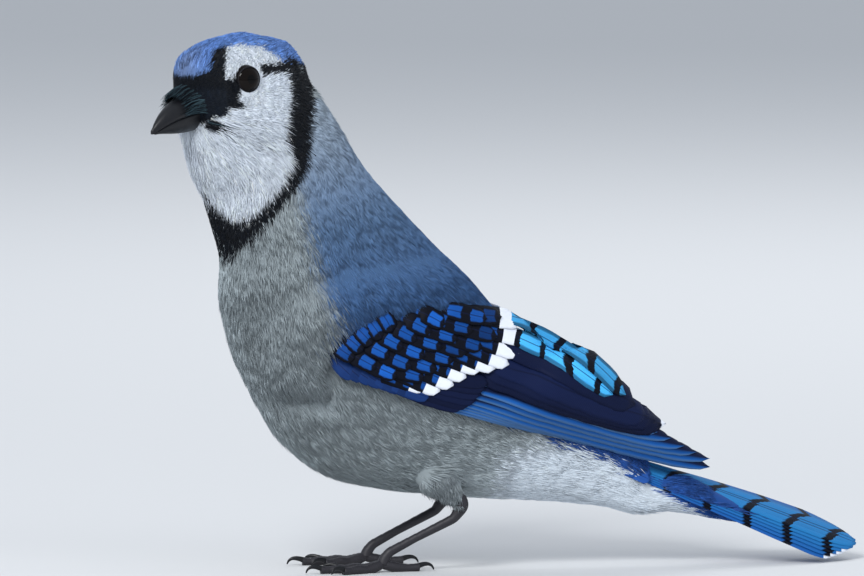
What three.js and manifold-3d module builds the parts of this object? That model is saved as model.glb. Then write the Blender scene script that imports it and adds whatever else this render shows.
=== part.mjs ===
// A blue jay at life size, in millimetres, standing on the floor at z = 0.
// The body lies along X with the bill towards -X, and its left side faces -Y.
import * as THREE from "three";
import { mergeVertices } from "three/addons/utils/BufferGeometryUtils.js";
import Module from "manifold-3d";

const wasm = await Module();
wasm.setup();
const { Manifold, Mesh: SolidMesh } = wasm;

// Named sizes.
const GAP = 0.3; // between neighbouring parts
const FEATHER = 0.6; // thickness of a vane
const MERGE = 0.04; // faces flatter than this are merged
const RING = 26; // points round a section of the body
const EXPONENT = 2.2; // roundness of a section
const HEAD_TURN = 34; // degrees the head is turned to the left
const HEAD_END = 5; // section where the head gives way to the neck
const NECK_END = 8; // section where the neck gives way to the trunk
const TRUNK_END = 19; // section where the trunk gives way to the tail
const EYE_RADIUS = 4.8;
const EYE_ALONG = 10.8; // ahead of the middle of the head
const EYE_OUT = 11.3; // out from the middle of the head
const EYE_HEIGHT = 163.4;
const LID_RADIUS = 4.35;
const LID_TUBE = 0.95;
const BILL_LENGTH = 29.6; // from the corner of the mouth to the tip
const BILL_START = 14.2; // corner of the mouth, ahead of the middle of the head
const BILL_HEIGHT = 154.4; // corner of the mouth above the floor
const BILL_DROP = 13.2; // degrees the bill points down
const TAIL_ROOT = [66, 0, 38.2];
const TAIL_TIP = [153.5, 0, 5.4];
const TAIL_ROLL = 12; // degrees the near edge of the tail is lower
const TAIL_FEATHERS = 12;
const FOOT_OUT = 13.5; // each foot from the middle
const FOOT_AHEAD = -9; // where the toes meet
const ANKLE = [18, 14.5, 22.5]; // heel joint of a leg, as x, distance out, z
const KNEE = [-4, 15, 44];
const TARSUS_RADIUS = 1.45;

// Sections of the body from the crown to the root of the tail: x, y and z of the middle, the lean of its
// long axis in degrees, half its length, half its width, and how far it is turned to the left.
const BODY = [
  [-55.0, -5.0, 177.2, -1, 3.0, 2.2, 34],
  [-55.4, -5.8, 173.8, 1, 18.6, 10.2, 34],
  [-55.4, -5.8, 167.6, 0, 26.0, 13.8, 34],
  [-54.0, -5.4, 159.5, 1, 27.8, 15.6, 34],
  [-49.9, -4.5, 149.4, 6.5, 28.2, 17.5, 30],
  [-45.7, -3.0, 139.3, 12, 28.0, 19.0, 20],
  [-41.2, -1.5, 131.0, 15, 27.5, 20.0, 11],
  [-37.1, -0.5, 122.8, 15.5, 28.8, 21.0, 4],
  [-30.6, 0, 111.3, 15, 32.0, 23.0, 0],
  [-25.0, 0, 98.7, 14.6, 37.4, 25.0, 0],
  [-17.2, 0, 84.6, 16.2, 42.2, 26.0, 0],
  [-8.4, 0, 70.6, 18.9, 44.3, 26.0, 0],
  [0.3, 0, 59.9, 21.9, 45.6, 25.5, 0],
  [10.9, 0, 50.8, 25.4, 43.8, 24.0, 0],
  [22.6, 0, 44.8, 27.6, 39.0, 22.0, 0],
  [34.9, 0, 40.3, 29.8, 32.6, 19.5, 0],
  [47.6, 0, 36.2, 33.9, 25.1, 16.5, 0],
  [60.3, 0, 32.3, 41.3, 17.9, 13.0, 0],
  [71.6, 0, 28.3, 51, 12.6, 10.0, 0],
  [80.4, 0, 23.7, 56.7, 9.2, 8.0, 0],
];

// The surface that the folded wings lie on: the trunk as far as its middle, then out to the wing tips.
const DRAPE = [
  ...BODY.slice(0, 14),
  [30.0, 0, 49.4, 32.7, 38.4, 23.0, 0],
  [46.8, 0, 48.0, 34.6, 29.4, 19.0, 0],
  [60.6, 0, 45.2, 32.7, 20.8, 14.5, 0],
  [73.7, 0, 40.5, 29.7, 13.5, 10.0, 0],
  [87.2, 0, 35.3, 24.4, 9.2, 6.5, 0],
  [102.6, 0, 29.4, 16.1, 5.6, 4.2, 0],
];

// Colours of the plumage and the bare parts.
const BLUE = 0x4f7fc0;
const CROWN_BLUE = 0x7d9bd0;
const GREY = 0xb9b4ae;
const BLACK = 0x15161c;
const EYE_BROWN = 0x120c09;
const LEG_BLACK = 0x26242a;

const rad = THREE.MathUtils.degToRad;
const at = (x, y, z) => new THREE.Vector3(x, y, z);
const mix = (a, b, t) => a + (b - a) * t;

// A closed solid from its corners and faces, turned right side out.
function solidFrom(points, faces) {
  const geometry = new THREE.BufferGeometry().setFromPoints(points);
  geometry.setIndex(faces.flat());
  const merged = mergeVertices(geometry, 1e-4);
  const make = (index) =>
    new Manifold(
      new SolidMesh({
        numProp: 3,
        vertProperties: merged.attributes.position.array,
        triVerts: index,
      }),
    );
  const index = new Uint32Array(merged.index.array);
  const solid = make(index);
  if (solid.volume() > 0) return solid;
  for (let i = 0; i < index.length; i += 3) {
    [index[i + 1], index[i + 2]] = [index[i + 2], index[i + 1]];
  }
  return make(index);
}

// A solid through closed rings of points, with a flat cap on each end.
function loft(rings) {
  const count = rings[0].length;
  const points = rings.flat();
  const faces = [];
  for (let i = 0; i + 1 < rings.length; i += 1) {
    for (let j = 0; j < count; j += 1) {
      const k = (j + 1) % count;
      const [a, b] = [i * count + j, i * count + k];
      const [c, d] = [a + count, b + count];
      faces.push([a, b, d], [a, d, c]);
    }
  }
  const middle = (ring) => ring.reduce((sum, p) => sum.add(p), at(0, 0, 0)).divideScalar(count);
  const last = (rings.length - 1) * count;
  const first = points.length;
  points.push(middle(rings[0]), middle(rings[rings.length - 1]));
  for (let j = 0; j < count; j += 1) {
    const k = (j + 1) % count;
    faces.push([first, k, j], [first + 1, last + j, last + k]);
  }
  return solidFrom(points, faces);
}

// The largest closed body of a solid, with specks and shells left out and needless small faces merged.
function largest(solid, merge = MERGE) {
  const pieces = solid.simplify(merge).decompose().sort((a, b) => b.volume() - a.volume());
  return pieces[0];
}

const union = (solids) => Manifold.union(solids);

// A solid mirrored across the middle of the body.
const mirrored = (solid) => solid.mirror([0, 1, 0]);

// One section of a table of sections at any place along it, smoothly between the rows.
function sectionAt(table, u) {
  const i = Math.min(Math.max(Math.floor(u), 0), table.length - 2);
  const t = u - i;
  const row = (k) => table[Math.min(Math.max(k, 0), table.length - 1)];
  const value = (k) => {
    const [a, b, c, d] = [row(i - 1)[k], row(i)[k], row(i + 1)[k], row(i + 2)[k]];
    return 0.5 * (2 * b + (c - a) * t + (2 * a - 5 * b + 4 * c - d) * t * t + (3 * b - a - 3 * c + d) * t ** 3);
  };
  const lean = rad(value(3));
  const turn = rad(value(6));
  return {
    middle: at(value(0), value(1), value(2)),
    along: at(Math.cos(lean) * Math.cos(turn), Math.cos(lean) * Math.sin(turn), Math.sin(lean)),
    across: at(-Math.sin(turn), Math.cos(turn), 0),
    long: value(4),
    wide: value(5),
  };
}

// The ring of a section, grown outwards and moved along the body.
function bodyRing(u, grow = 0, move = 0) {
  const s = sectionAt(BODY, u);
  const normal = new THREE.Vector3().crossVectors(s.along, s.across).normalize();
  const ring = [];
  for (let k = 0; k < RING; k += 1) {
    const angle = (2 * Math.PI * k) / RING;
    const round = (v) => Math.sign(v) * Math.abs(v) ** (2 / EXPONENT);
    const p = s.middle.clone();
    p.addScaledVector(s.along, (s.long + grow) * round(Math.cos(angle)));
    p.addScaledVector(s.across, (s.wide + grow) * round(Math.sin(angle)));
    p.addScaledVector(normal, move);
    ring.push(p);
  }
  return ring;
}

// A length of the body between two sections, drawn back by half the gap at each end that has a neighbour.
function bodyLength(from, to, steps, gapFrom, gapTo) {
  const sign = sectionAt(BODY, 2);
  const down = new THREE.Vector3().crossVectors(sign.along, sign.across).z < 0 ? 1 : -1;
  const rings = [];
  for (let i = 0; i <= steps; i += 1) {
    const move = i === 0 ? gapFrom / 2 : i === steps ? -gapTo / 2 : 0;
    rings.push(bodyRing(mix(from, to, i / steps), 0, move * down));
  }
  return loft(rings);
}

// A feather vane from its stations: left, middle and right points, the way up, and the thickness there.
// Both faces are split into the same triangles, so the vane keeps its thickness.
function vane(stations) {
  const points = [];
  const faces = [];
  stations.forEach(({ left, mid, right, up, thick }) => {
    const top = (p) => p.clone().addScaledVector(up, thick / 2);
    const under = (p) => p.clone().addScaledVector(up, -thick / 2);
    points.push(top(left), top(mid), top(right), under(right), under(mid), under(left));
  });
  for (let i = 0; i + 1 < stations.length; i += 1) {
    for (let j = 0; j < 6; j += 1) {
      const k = (j + 1) % 6;
      const [a, b] = [i * 6 + j, i * 6 + k];
      const [c, d] = [a + 6, b + 6];
      if (j === 3 || j === 4) faces.push([a, b, c], [b, d, c]);
      else faces.push([a, b, d], [a, d, c]);
    }
  }
  const end = (stations.length - 1) * 6;
  faces.push([0, 5, 1], [1, 5, 4], [1, 4, 2], [2, 4, 3]);
  faces.push([end, end + 1, end + 5], [end + 1, end + 4, end + 5]);
  faces.push([end + 1, end + 2, end + 4], [end + 2, end + 3, end + 4]);
  return solidFrom(points, faces);
}

// How far out the left side of the wing surface is at a place in side view.
function drapeOut(x, z) {
  let [low, high] = [4, DRAPE.length - 1];
  for (let i = 0; i < 34; i += 1) {
    const u = (low + high) / 2;
    const s = sectionAt(DRAPE, u);
    const above = (z - s.middle.z) * s.along.x - (x - s.middle.x) * s.along.z;
    if (above > 0) high = u;
    else low = u;
  }
  const s = sectionAt(DRAPE, low);
  const along = ((x - s.middle.x) * s.along.x + (z - s.middle.z) * s.along.z) / s.long;
  const reach = Math.min(Math.abs(along), 0.985);
  return s.wide * (1 - reach ** EXPONENT) ** (1 / EXPONENT);
}

// The outward direction of the wing surface, and a point above it.
function drapeNormal(x, z) {
  const step = 0.8;
  const slopeX = (drapeOut(x + step, z) - drapeOut(x - step, z)) / (2 * step);
  const slopeZ = (drapeOut(x, z + step) - drapeOut(x, z - step)) / (2 * step);
  return at(-slopeX, -1, -slopeZ).normalize();
}
function drapePoint(x, z, lift) {
  return at(x, -drapeOut(x, z), z).addScaledVector(drapeNormal(x, z), lift);
}

// The arm and hand inside a folded wing, as pairs of lower and upper edge points in side view.
const WING_ROWS = [
  [-29.5, 75.5, -26, 88],
  [-26, 70.5, -21, 97],
  [-18, 65, -13, 104],
  [-8, 61.5, -2, 104],
  [5, 58, 11, 95],
  [20, 53.5, 23, 86],
  [36, 50.5, 36, 75],
  [48, 50, 47, 66],
  [58, 49.5, 57, 60],
];

function wingBody(grow, inner, outer) {
  const rows = WING_ROWS.map(([a, b, c, d], i) => {
    const lower = at(a, 0, b);
    const upper = at(c, 0, d);
    const way = upper.clone().sub(lower).normalize();
    const shift = i === 0 ? -grow : i === WING_ROWS.length - 1 ? grow : 0;
    lower.addScaledVector(way, -grow).add(at(shift, 0, 0));
    upper.addScaledVector(way, grow).add(at(shift, 0, 0));
    return [lower, upper];
  });
  const across = 6;
  const rings = rows.map(([lower, upper]) => {
    const ring = [];
    for (let k = 0; k <= across; k += 1) {
      const p = lower.clone().lerp(upper, k / across);
      ring.push(drapePoint(p.x, p.z, outer));
    }
    for (let k = across; k >= 0; k -= 1) {
      const p = lower.clone().lerp(upper, k / across);
      ring.push(drapePoint(p.x, p.z, inner));
    }
    return ring;
  });
  return loft(rings);
}

// One feather of a folded wing, from its root to its tip in side view, lying over the one below it.
const VANE_SHAPE = [
  [0, 0.55],
  [0.35, 0.95],
  [0.75, 0.92],
  [0.94, 0.58],
  [1, 0.16],
];
function wingVane([x0, z0], [x1, z1], half, lift, tilt) {
  const length = Math.hypot(x1 - x0, z1 - z0);
  const side = [-(z1 - z0) / length, (x1 - x0) / length];
  const stations = VANE_SHAPE.map(([t, w]) => {
    const x = mix(x0, x1, t);
    const z = mix(z0, z1, t);
    const high = mix(-0.9, lift, Math.min(1, t * 2.5));
    const reach = half * w;
    const upper = drapePoint(x + side[0] * reach, z + side[1] * reach, high - tilt);
    const lower = drapePoint(x - side[0] * reach, z - side[1] * reach, high + tilt);
    return {
      left: lower,
      mid: drapePoint(x, z, high + 0.15),
      right: upper,
      up: drapeNormal(x, z),
      thick: t > 0.97 ? FEATHER * 0.7 : FEATHER,
    };
  });
  return vane(stations);
}

// Tiers of a wing: how many feathers, root and tip of the first and of the last, half-width, lift and tilt.
function tier(count, rootA, rootB, tipA, tipB, half, lift, tilt, bow = [0, 0]) {
  const vanes = [];
  for (let i = 0; i < count; i += 1) {
    const t = count > 1 ? i / (count - 1) : 0;
    const arch = 4 * t * (1 - t);
    const root = [mix(rootA[0], rootB[0], t), mix(rootA[1], rootB[1], t)];
    const tip = [mix(tipA[0], tipB[0], t) + bow[0] * arch, mix(tipA[1], tipB[1], t) + bow[1] * arch];
    vanes.push(wingVane(root, tip, half, lift, tilt));
  }
  return vanes;
}

function leftWing() {
  const feathers = [
    ...tier(6, [10, 57], [28, 62], [72, 43], [104.5, 31.6], 2.7, 0.4, 0.3, [1, 0.6]),
    ...tier(2, [32, 62], [34, 64], [98, 36.6], [89, 41.6], 2.7, 1.2, 0.3),
    ...tier(4, [24, 64], [36, 73], [60, 51.6], [82, 48.5], 3.2, 1.9, 0.45),
    ...tier(3, [30, 74], [35, 80], [74, 56.5], [57, 69], 4.4, 3.1, 0.5),
    ...tier(3, [0, 63], [6, 66], [20, 55.6], [34, 60], 2.2, 1.6, 0.3),
    ...tier(6, [-10, 68], [18, 88], [7, 59.5], [34, 77.5], 2.7, 2.5, 0.45, [2.5, -3]),
    ...tier(1, [-20, 72], [-20, 72], [-3, 64.5], [-3, 64.5], 2.8, 2.2, 0.2),
    ...tier(5, [-18, 75], [8, 94], [-5, 68], [24, 85.5], 3.4, 3.4, 0.45, [2, -3]),
    ...tier(4, [-24, 82], [-6, 99], [-13, 75.5], [11, 93], 4.0, 4.0, 0.4, [1, -2]),
    ...tier(3, [-17, 102], [4, 95], [3, 99], [27, 86], 4.4, 4.6, 0.3),
  ];
  return largest(union([wingBody(0, -2, 0.2), ...feathers]));
}

// Directions and places of the turned head.
const headFront = at(-Math.cos(rad(HEAD_TURN)), -Math.sin(rad(HEAD_TURN)), 0);
const headLeft = at(Math.sin(rad(HEAD_TURN)), -Math.cos(rad(HEAD_TURN)), 0);
const headMiddle = at(-53.4, -5, 0);
function headPlace(ahead, left, height) {
  const p = headMiddle.clone().addScaledVector(headFront, ahead).addScaledVector(headLeft, left);
  return p.setZ(height);
}
function crownHeight(ahead, left) {
  const fall = 1 - (ahead / 27) ** 2 - (left / 15) ** 2;
  return 162.6 + 15 * Math.sqrt(Math.max(fall, 0.12));
}

// An eyeball, and the socket and lids that hold it, on one side of the head.
function eyeMiddle(side) {
  return headPlace(EYE_ALONG, side * EYE_OUT, EYE_HEIGHT);
}
function eyeball(side, radius) {
  const ball = Manifold.sphere(radius, 20);
  return ball.translate(eyeMiddle(side).toArray());
}
function lids(side) {
  const geometry = new THREE.TorusGeometry(LID_RADIUS, LID_TUBE, 6, 20);
  const way = headLeft.clone().multiplyScalar(side).addScaledVector(headFront, 0.16);
  way.z = 0.05;
  way.normalize();
  geometry.applyQuaternion(new THREE.Quaternion().setFromUnitVectors(at(0, 0, 1), way));
  const middle = eyeMiddle(side).addScaledVector(way, Math.sqrt(EYE_RADIUS ** 2 - LID_RADIUS ** 2) + 0.35);
  geometry.translate(middle.x, middle.y, middle.z);
  geometry.deleteAttribute("normal");
  geometry.deleteAttribute("uv");
  const merged = mergeVertices(geometry, 1e-3);
  const mesh = new SolidMesh({
    numProp: 3,
    vertProperties: merged.attributes.position.array,
    triVerts: new Uint32Array(merged.index.array),
  });
  return new Manifold(mesh);
}

// Profile of the bill along its length: distance from the corner of the mouth, ridge, edge of the mouth,
// keel of the lower half, and half-width.
const BILL = [
  [-3, 6.6, 0.2, -5.0, 5.4],
  [3, 7.0, 0.5, -5.5, 5.5],
  [9, 7.4, 1.1, -5.4, 5.2],
  [15, 7.3, 1.3, -4.9, 4.5],
  [20, 6.0, 0.9, -3.9, 3.5],
  [24, 4.2, 0.2, -2.7, 2.5],
  [27, 2.2, -0.6, -1.9, 1.5],
  [28.8, 0.7, -1.2, -1.55, 0.8],
];
function billPlace(s, out, up) {
  const drop = rad(BILL_DROP);
  const p = headPlace(BILL_START + s * Math.cos(drop) + up * Math.sin(drop), out, 0);
  return p.setZ(BILL_HEIGHT - s * Math.sin(drop) + up * Math.cos(drop));
}
function billHalf(upper, grow) {
  const rows = BILL.map(([s, ridge, edge, keel, wide], i) => {
    const first = i === 0 ? -grow : 0;
    const last = i === BILL.length - 1 ? grow : 0;
    const ring = [];
    const base = upper ? edge + GAP / 2 - grow : edge - GAP / 2 + grow;
    const height = upper ? ridge + grow - base : keel - grow - base;
    const width = (upper ? wide : wide * 0.92) + grow;
    for (let k = 0; k <= 10; k += 1) {
      const angle = (Math.PI * k) / 10;
      const flat = upper ? 0.86 : 1;
      const rise = Math.sin(angle) ** flat;
      ring.push(billPlace(s + first + last, width * Math.cos(angle), base + height * rise));
    }
    return ring;
  });
  const [, ridge, edge, keel] = BILL[BILL.length - 1];
  const tip = upper ? mix(edge, ridge, 0.15) - 0.25 : mix(edge, keel, 0.6) - GAP / 2;
  const end = BILL_LENGTH + grow - (upper ? 0 : 1.1);
  if (end > BILL[BILL.length - 1][0]) {
    const small = rows[rows.length - 1].map((p, k) => {
      const angle = (Math.PI * k) / 10;
      return billPlace(end, 0.3 * Math.cos(angle), tip + (upper ? 0.25 : -0.2) * Math.sin(angle));
    });
    rows.push(small);
  }
  return loft(rows);
}

// Flat laid feathers of the crest, in tiers from the forehead to the small point at the nape.
function crest() {
  const vanes = [];
  const tiers = [
    [1, 3, 12, 1.9, 0.5],
    [-7, 3, 14, 2.0, 1.5],
    [-14, 2, 13, 2.2, 2.4],
    [-18, 1, 12, 2.2, 3.3],
  ];
  for (const [ahead, count, length, half, lift] of tiers) {
    for (let i = 0; i < count; i += 1) {
      const left = (i - (count - 1) / 2) * 4.6;
      const stations = VANE_SHAPE.map(([t, w]) => {
        const back = ahead - length * t;
        const out = left * mix(1, 0.55, t);
        const rise = mix(-0.9, lift, Math.min(1, t * 1.6));
        const place = (side) =>
          headPlace(back, out + side * half * w, crownHeight(back, out + side * half * w) + rise);
        return { left: place(1), mid: place(0).add(at(0, 0, 0.12)), right: place(-1), up: at(0, 0, 1), thick: FEATHER };
      });
      vanes.push(vane(stations));
    }
  }
  return vanes;
}

// Stiff tufts that lie forward from the forehead over the nostrils.
function nostrilTufts() {
  const vanes = [];
  for (const side of [-1, 1]) {
    for (let i = 0; i < 3; i += 1) {
      const spread = 1.4 + i * 2.2;
      const stations = VANE_SHAPE.map(([t, w]) => {
        const s = mix(5, 20 - i * 1.2, t);
        const up = mix(9.0 - i * 1.2, 7.5 - i * 1.7, t) + 1.1 * Math.sin(Math.PI * t);
        const place = (across) => billPlace(s, side * (spread + across * 1.5 * w), up - across * 0.5 * w);
        return { left: place(1), mid: place(0), right: place(-1), up: at(0, 0, 1), thick: FEATHER };
      });
      vanes.push(vane(stations));
    }
  }
  return vanes;
}

// A tube through points, each with its own radius.
function limb(points, sides = 10, grow = 0) {
  const rings = points.map(([x, y, z, radius, flat = 1], i) => {
    const before = points[Math.max(i - 1, 0)];
    const after = points[Math.min(i + 1, points.length - 1)];
    const way = at(after[0] - before[0], after[1] - before[1], after[2] - before[2]).normalize();
    const side = new THREE.Vector3().crossVectors(way, Math.abs(way.z) > 0.8 ? at(1, 0, 0) : at(0, 0, 1)).normalize();
    const up = new THREE.Vector3().crossVectors(side, way).normalize();
    const ring = [];
    for (let k = 0; k < sides; k += 1) {
      const angle = (2 * Math.PI * k) / sides;
      const p = at(x, y, z);
      p.addScaledVector(side, (radius * flat + grow) * Math.cos(angle));
      p.addScaledVector(up, (radius + grow) * Math.sin(angle));
      ring.push(p);
    }
    return ring;
  });
  return loft(rings);
}

// Feathered upper leg of the left side, from inside the belly to just above the heel joint.
function thigh(grow) {
  const [ax, ay, az] = ANKLE;
  const [kx, ky, kz] = KNEE;
  const path = [0, 0.12, 0.35, 0.62, 0.85, 0.95].map((t, i) => {
    const radius = [3.5, 7.5, 9.6, 8.2, 4.8, 2.9][i];
    const back = i === 0 ? grow : 0;
    return [mix(kx, ax, t) - back, -mix(ky, ay, t), mix(kz, az, t) + back, radius, 0.72];
  });
  return limb(path, 14, grow);
}

// Bare scaled shank of the left leg, from the heel joint to the toes.
function shank(grow = 0) {
  const [ax, ay, az] = ANKLE;
  const from = [mix(KNEE[0], ax, 0.9), -mix(KNEE[1], ay, 0.9), mix(KNEE[2], az, 0.9), 1.5];
  const path = [
    from,
    [ax - 0.6, -ay, az + 1.2, 1.9],
    [ax, -ay, az - 1.2, 2.1],
    [ax - 3, -ay + 0.05, az - 5.5, TARSUS_RADIUS],
    [mix(ax, FOOT_AHEAD, 0.6), -mix(ay, FOOT_OUT, 0.6), mix(az, 4.5, 0.6), TARSUS_RADIUS * 0.92],
    [FOOT_AHEAD + 2.2, -FOOT_OUT, 6.6, TARSUS_RADIUS * 1.05],
    [FOOT_AHEAD + 0.9, -FOOT_OUT, 4.9, TARSUS_RADIUS * 1.15],
  ];
  return limb(path, 12, grow);
}

// Toes of a left foot: heading in degrees from straight ahead, length, and joints with knuckle pads.
const TOES = [
  [-16, 15, 2],
  [4, 21, 3],
  [26, 16, 2],
  [184, 13, 1],
];
function toe(heading, length, joints) {
  const angle = rad(heading);
  const way = at(-Math.cos(angle), -Math.sin(angle), 0);
  const steps = joints * 2 + 1;
  const path = [];
  for (let i = 0; i <= steps; i += 1) {
    const t = i / steps;
    const knuckle = i % 2 === 1 ? 1.12 : 0.92;
    const radius = mix(1.65, 1.2, t) * knuckle;
    const height = i === 0 ? 2.6 : radius * 0.86;
    path.push([FOOT_AHEAD + way.x * length * t, -FOOT_OUT + way.y * length * t, height, radius]);
  }
  return limb(path, 8);
}
function claw(heading, length) {
  const angle = rad(heading);
  const way = at(-Math.cos(angle), -Math.sin(angle), 0);
  const path = [];
  for (let i = 0; i <= 4; i += 1) {
    const t = i / 4;
    const reach = length - 1.4 + 6.4 * Math.sin(t * 1.45);
    const height = 1.35 + 1.5 * Math.sin(t * 2.6) - 1.9 * t * t;
    path.push([FOOT_AHEAD + way.x * reach, -FOOT_OUT + way.y * reach, Math.max(height, 0.42), mix(1.05, 0.28, t), 0.75]);
  }
  return limb(path, 6);
}
function leftFoot() {
  const pad = limb(
    [
      [FOOT_AHEAD + 2.6, -FOOT_OUT, 1.7, 1.2],
      [FOOT_AHEAD + 1.2, -FOOT_OUT, 1.9, 2.3],
      [FOOT_AHEAD - 0.8, -FOOT_OUT, 1.9, 2.5],
      [FOOT_AHEAD - 2.6, -FOOT_OUT, 1.6, 1.4],
    ],
    12,
  );
  const ankle = limb(
    [
      [FOOT_AHEAD - 0.2, -FOOT_OUT, 1.6, 1.9],
      [FOOT_AHEAD + 0.5, -FOOT_OUT, 3.2, 1.7],
      [FOOT_AHEAD + 0.75, -FOOT_OUT, 4.9 - GAP - 0.9, 1.55],
    ],
    12,
  );
  const toes = TOES.flatMap(([heading, length, joints]) => [toe(heading, length, joints), claw(heading, length)]);
  const floor = Manifold.cube([200, 200, 20], true).translate([0, 0, -10]);
  const foot = union([pad, ankle, ...toes]).subtract(floor);
  return largest(foot);
}

// Tail frame: along the quills, across the fan and up from its top face.
const tailRoot = at(...TAIL_ROOT);
const tailWay = at(...TAIL_TIP).sub(tailRoot).normalize();
const tailAcross = at(0, Math.cos(rad(TAIL_ROLL)), Math.sin(rad(TAIL_ROLL)));
tailAcross.addScaledVector(tailWay, -tailAcross.dot(tailWay)).normalize();
const tailUp = new THREE.Vector3().crossVectors(tailWay, tailAcross).normalize();
if (tailUp.z < 0) tailUp.negate();
function tailPlace(along, across, up) {
  const p = tailRoot.clone().addScaledVector(tailWay, along);
  return p.addScaledVector(tailAcross, across).addScaledVector(tailUp, up);
}
const TAIL_SHAPE = [
  [0, 0.45],
  [0.4, 0.9],
  [0.8, 1],
  [0.95, 0.78],
  [1, 0.2],
];
function tailFeather(index) {
  const place = (index - (TAIL_FEATHERS - 1) / 2) / ((TAIL_FEATHERS - 1) / 2);
  const far = Math.abs(place);
  const start = 16;
  const length = 93.6 - start - 9 * far ** 1.5;
  const half = mix(6.2, 5.2, far);
  const sink = -2.3 * far;
  const stations = TAIL_SHAPE.map(([t, w]) => {
    const along = start + length * t;
    const middle = place * mix(3.2, 12.2, t ** 0.9);
    const low = sink + 0.5 * Math.sin(Math.PI * t) - 0.004 * middle * middle;
    const spot = (side) => tailPlace(along, middle + side * half * w, low - 0.25 * side * Math.sign(place));
    const up = tailUp;
    return { left: spot(-1), mid: tailPlace(along, middle, low + 0.25), right: spot(1), up, thick: FEATHER };
  });
  return vane(stations);
}

// Base of the tail with its covert feathers above and below, starting face to face with the trunk.
function tail() {
  const ring = (x, z, lean, long, wide) => {
    const points = [];
    const along = at(Math.cos(rad(lean)), 0, Math.sin(rad(lean)));
    for (let k = 0; k < RING; k += 1) {
      const angle = (2 * Math.PI * k) / RING;
      const round = (v) => Math.sign(v) * Math.abs(v) ** (2 / EXPONENT);
      const p = at(x, wide * round(Math.sin(angle)), z).addScaledVector(along, long * round(Math.cos(angle)));
      points.push(p);
    }
    return points;
  };
  const end = sectionAt(BODY, TRUNK_END);
  const lean = THREE.MathUtils.radToDeg(Math.asin(end.along.z));
  const block = loft([
    ring(end.middle.x + 0.13, end.middle.z - 0.08, lean, end.long, end.wide),
    ring(92, 22.6, 63, 7.4, 8.6),
    ring(104, 19.2, 66, 5.4, 8.6),
    ring(117, 15.0, 68, 3.2, 7.6),
    ring(130, 11.3, 68, 1.2, 4.5),
  ]);
  const vanes = [];
  for (let i = 0; i < TAIL_FEATHERS; i += 1) vanes.push(tailFeather(i));
  for (let row = 0; row < 2; row += 1) {
    for (let i = 0; i < 4; i += 1) {
      const across = (i - 1.5) * 3.6;
      const stations = VANE_SHAPE.map(([t, w]) => {
        const along = mix(20 + row * 3, 38 + row * 9, t);
        const high = mix(-1.2, 1.6 - row * 0.5, Math.min(1, t * 2));
        const spot = (side) => tailPlace(along, across * mix(1, 1.25, t) + side * 3.4 * w, high - 0.2 * side);
        return { left: spot(-1), mid: spot(0), right: spot(1), up: tailUp, thick: FEATHER };
      });
      vanes.push(vane(stations));
    }
  }
  const way = at(Math.sin(rad(lean)), 0, -Math.cos(rad(lean)));
  const start = way.dot(end.middle) + GAP / 2;
  return largest(union([block, ...vanes]).trimByPlane(way.toArray(), start));
}

// Head with the lids round the eyes, the laid crest and the tufts, cut clear of the bill and the eyes.
function head() {
  const skull = bodyLength(0, HEAD_END, 14, 0, GAP);
  let solid = union([skull, ...crest(), ...nostrilTufts(), lids(1), lids(-1)]);
  solid = solid.subtract(union([billHalf(true, GAP), billHalf(false, GAP)]));
  solid = solid.subtract(eyeball(1, EYE_RADIUS + GAP)).subtract(eyeball(-1, EYE_RADIUS + GAP));
  return largest(solid);
}

function trunk() {
  const recess = wingBody(1.3, -2 - GAP, 9);
  const leg = union([thigh(GAP + 0.45), shank(0.6)]);
  const cuts = [recess, mirrored(recess), leg, mirrored(leg)];
  return largest(bodyLength(NECK_END, TRUNK_END, 20, GAP, GAP).subtract(union(cuts)));
}

// A named part of the bird with its own material.
const bird = new THREE.Group();
bird.name = "blue_jay";
function part(name, solid, color, roughness) {
  const mesh = solid.getMesh();
  const geometry = new THREE.BufferGeometry();
  geometry.setAttribute("position", new THREE.BufferAttribute(new Float32Array(mesh.vertProperties), 3));
  geometry.setIndex(new THREE.BufferAttribute(new Uint32Array(mesh.triVerts), 1));
  geometry.computeVertexNormals();
  const material = new THREE.MeshStandardMaterial({ color, roughness, metalness: 0 });
  const node = new THREE.Mesh(geometry, material);
  node.name = name;
  bird.add(node);
}

const wing = leftWing();
const wingRoom = union([wing, wing.translate([0, GAP, 0]), wing.translate([0, GAP / 2, -GAP])]);
const clearOfWings = (solid) => largest(solid.subtract(union([wingRoom, mirrored(wingRoom)])), 0.005);
part("head", head(), CROWN_BLUE, 0.8);
part("bill_upper", billHalf(true, 0), BLACK, 0.4);
part("bill_lower", billHalf(false, 0), BLACK, 0.4);
part("eye_left", eyeball(1, EYE_RADIUS), EYE_BROWN, 0.1);
part("eye_right", eyeball(-1, EYE_RADIUS), EYE_BROWN, 0.1);
part("neck", bodyLength(HEAD_END, NECK_END, 5, GAP, GAP), CROWN_BLUE, 0.8);
part("torso", clearOfWings(trunk()), GREY, 0.85);
part("wing_left", wing, BLUE, 0.6);
part("wing_right", mirrored(wing), BLUE, 0.6);
part("tail", tail(), BLUE, 0.6);
const upperLeg = thigh(0);
const shankSolid = shank();
const shankRoom = limb(
  [
    [mix(KNEE[0], ANKLE[0], 0.9) - 0.5, -mix(KNEE[1], ANKLE[1], 0.9), mix(KNEE[2], ANKLE[2], 0.9) + 0.4, 1.8],
    [ANKLE[0] - 0.3, -ANKLE[1], ANKLE[2] + 1, 2.3],
    [ANKLE[0] + 0.6, -ANKLE[1], ANKLE[2] - 2.5, 2.5],
  ],
  12,
);
const thighSolid = largest(upperLeg.subtract(shankRoom));
part("thigh_left", thighSolid, GREY, 0.85);
part("thigh_right", mirrored(thighSolid), GREY, 0.85);
part("tarsus_left", shankSolid, LEG_BLACK, 0.5);
part("tarsus_right", mirrored(shankSolid), LEG_BLACK, 0.5);
const foot = leftFoot();
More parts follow.
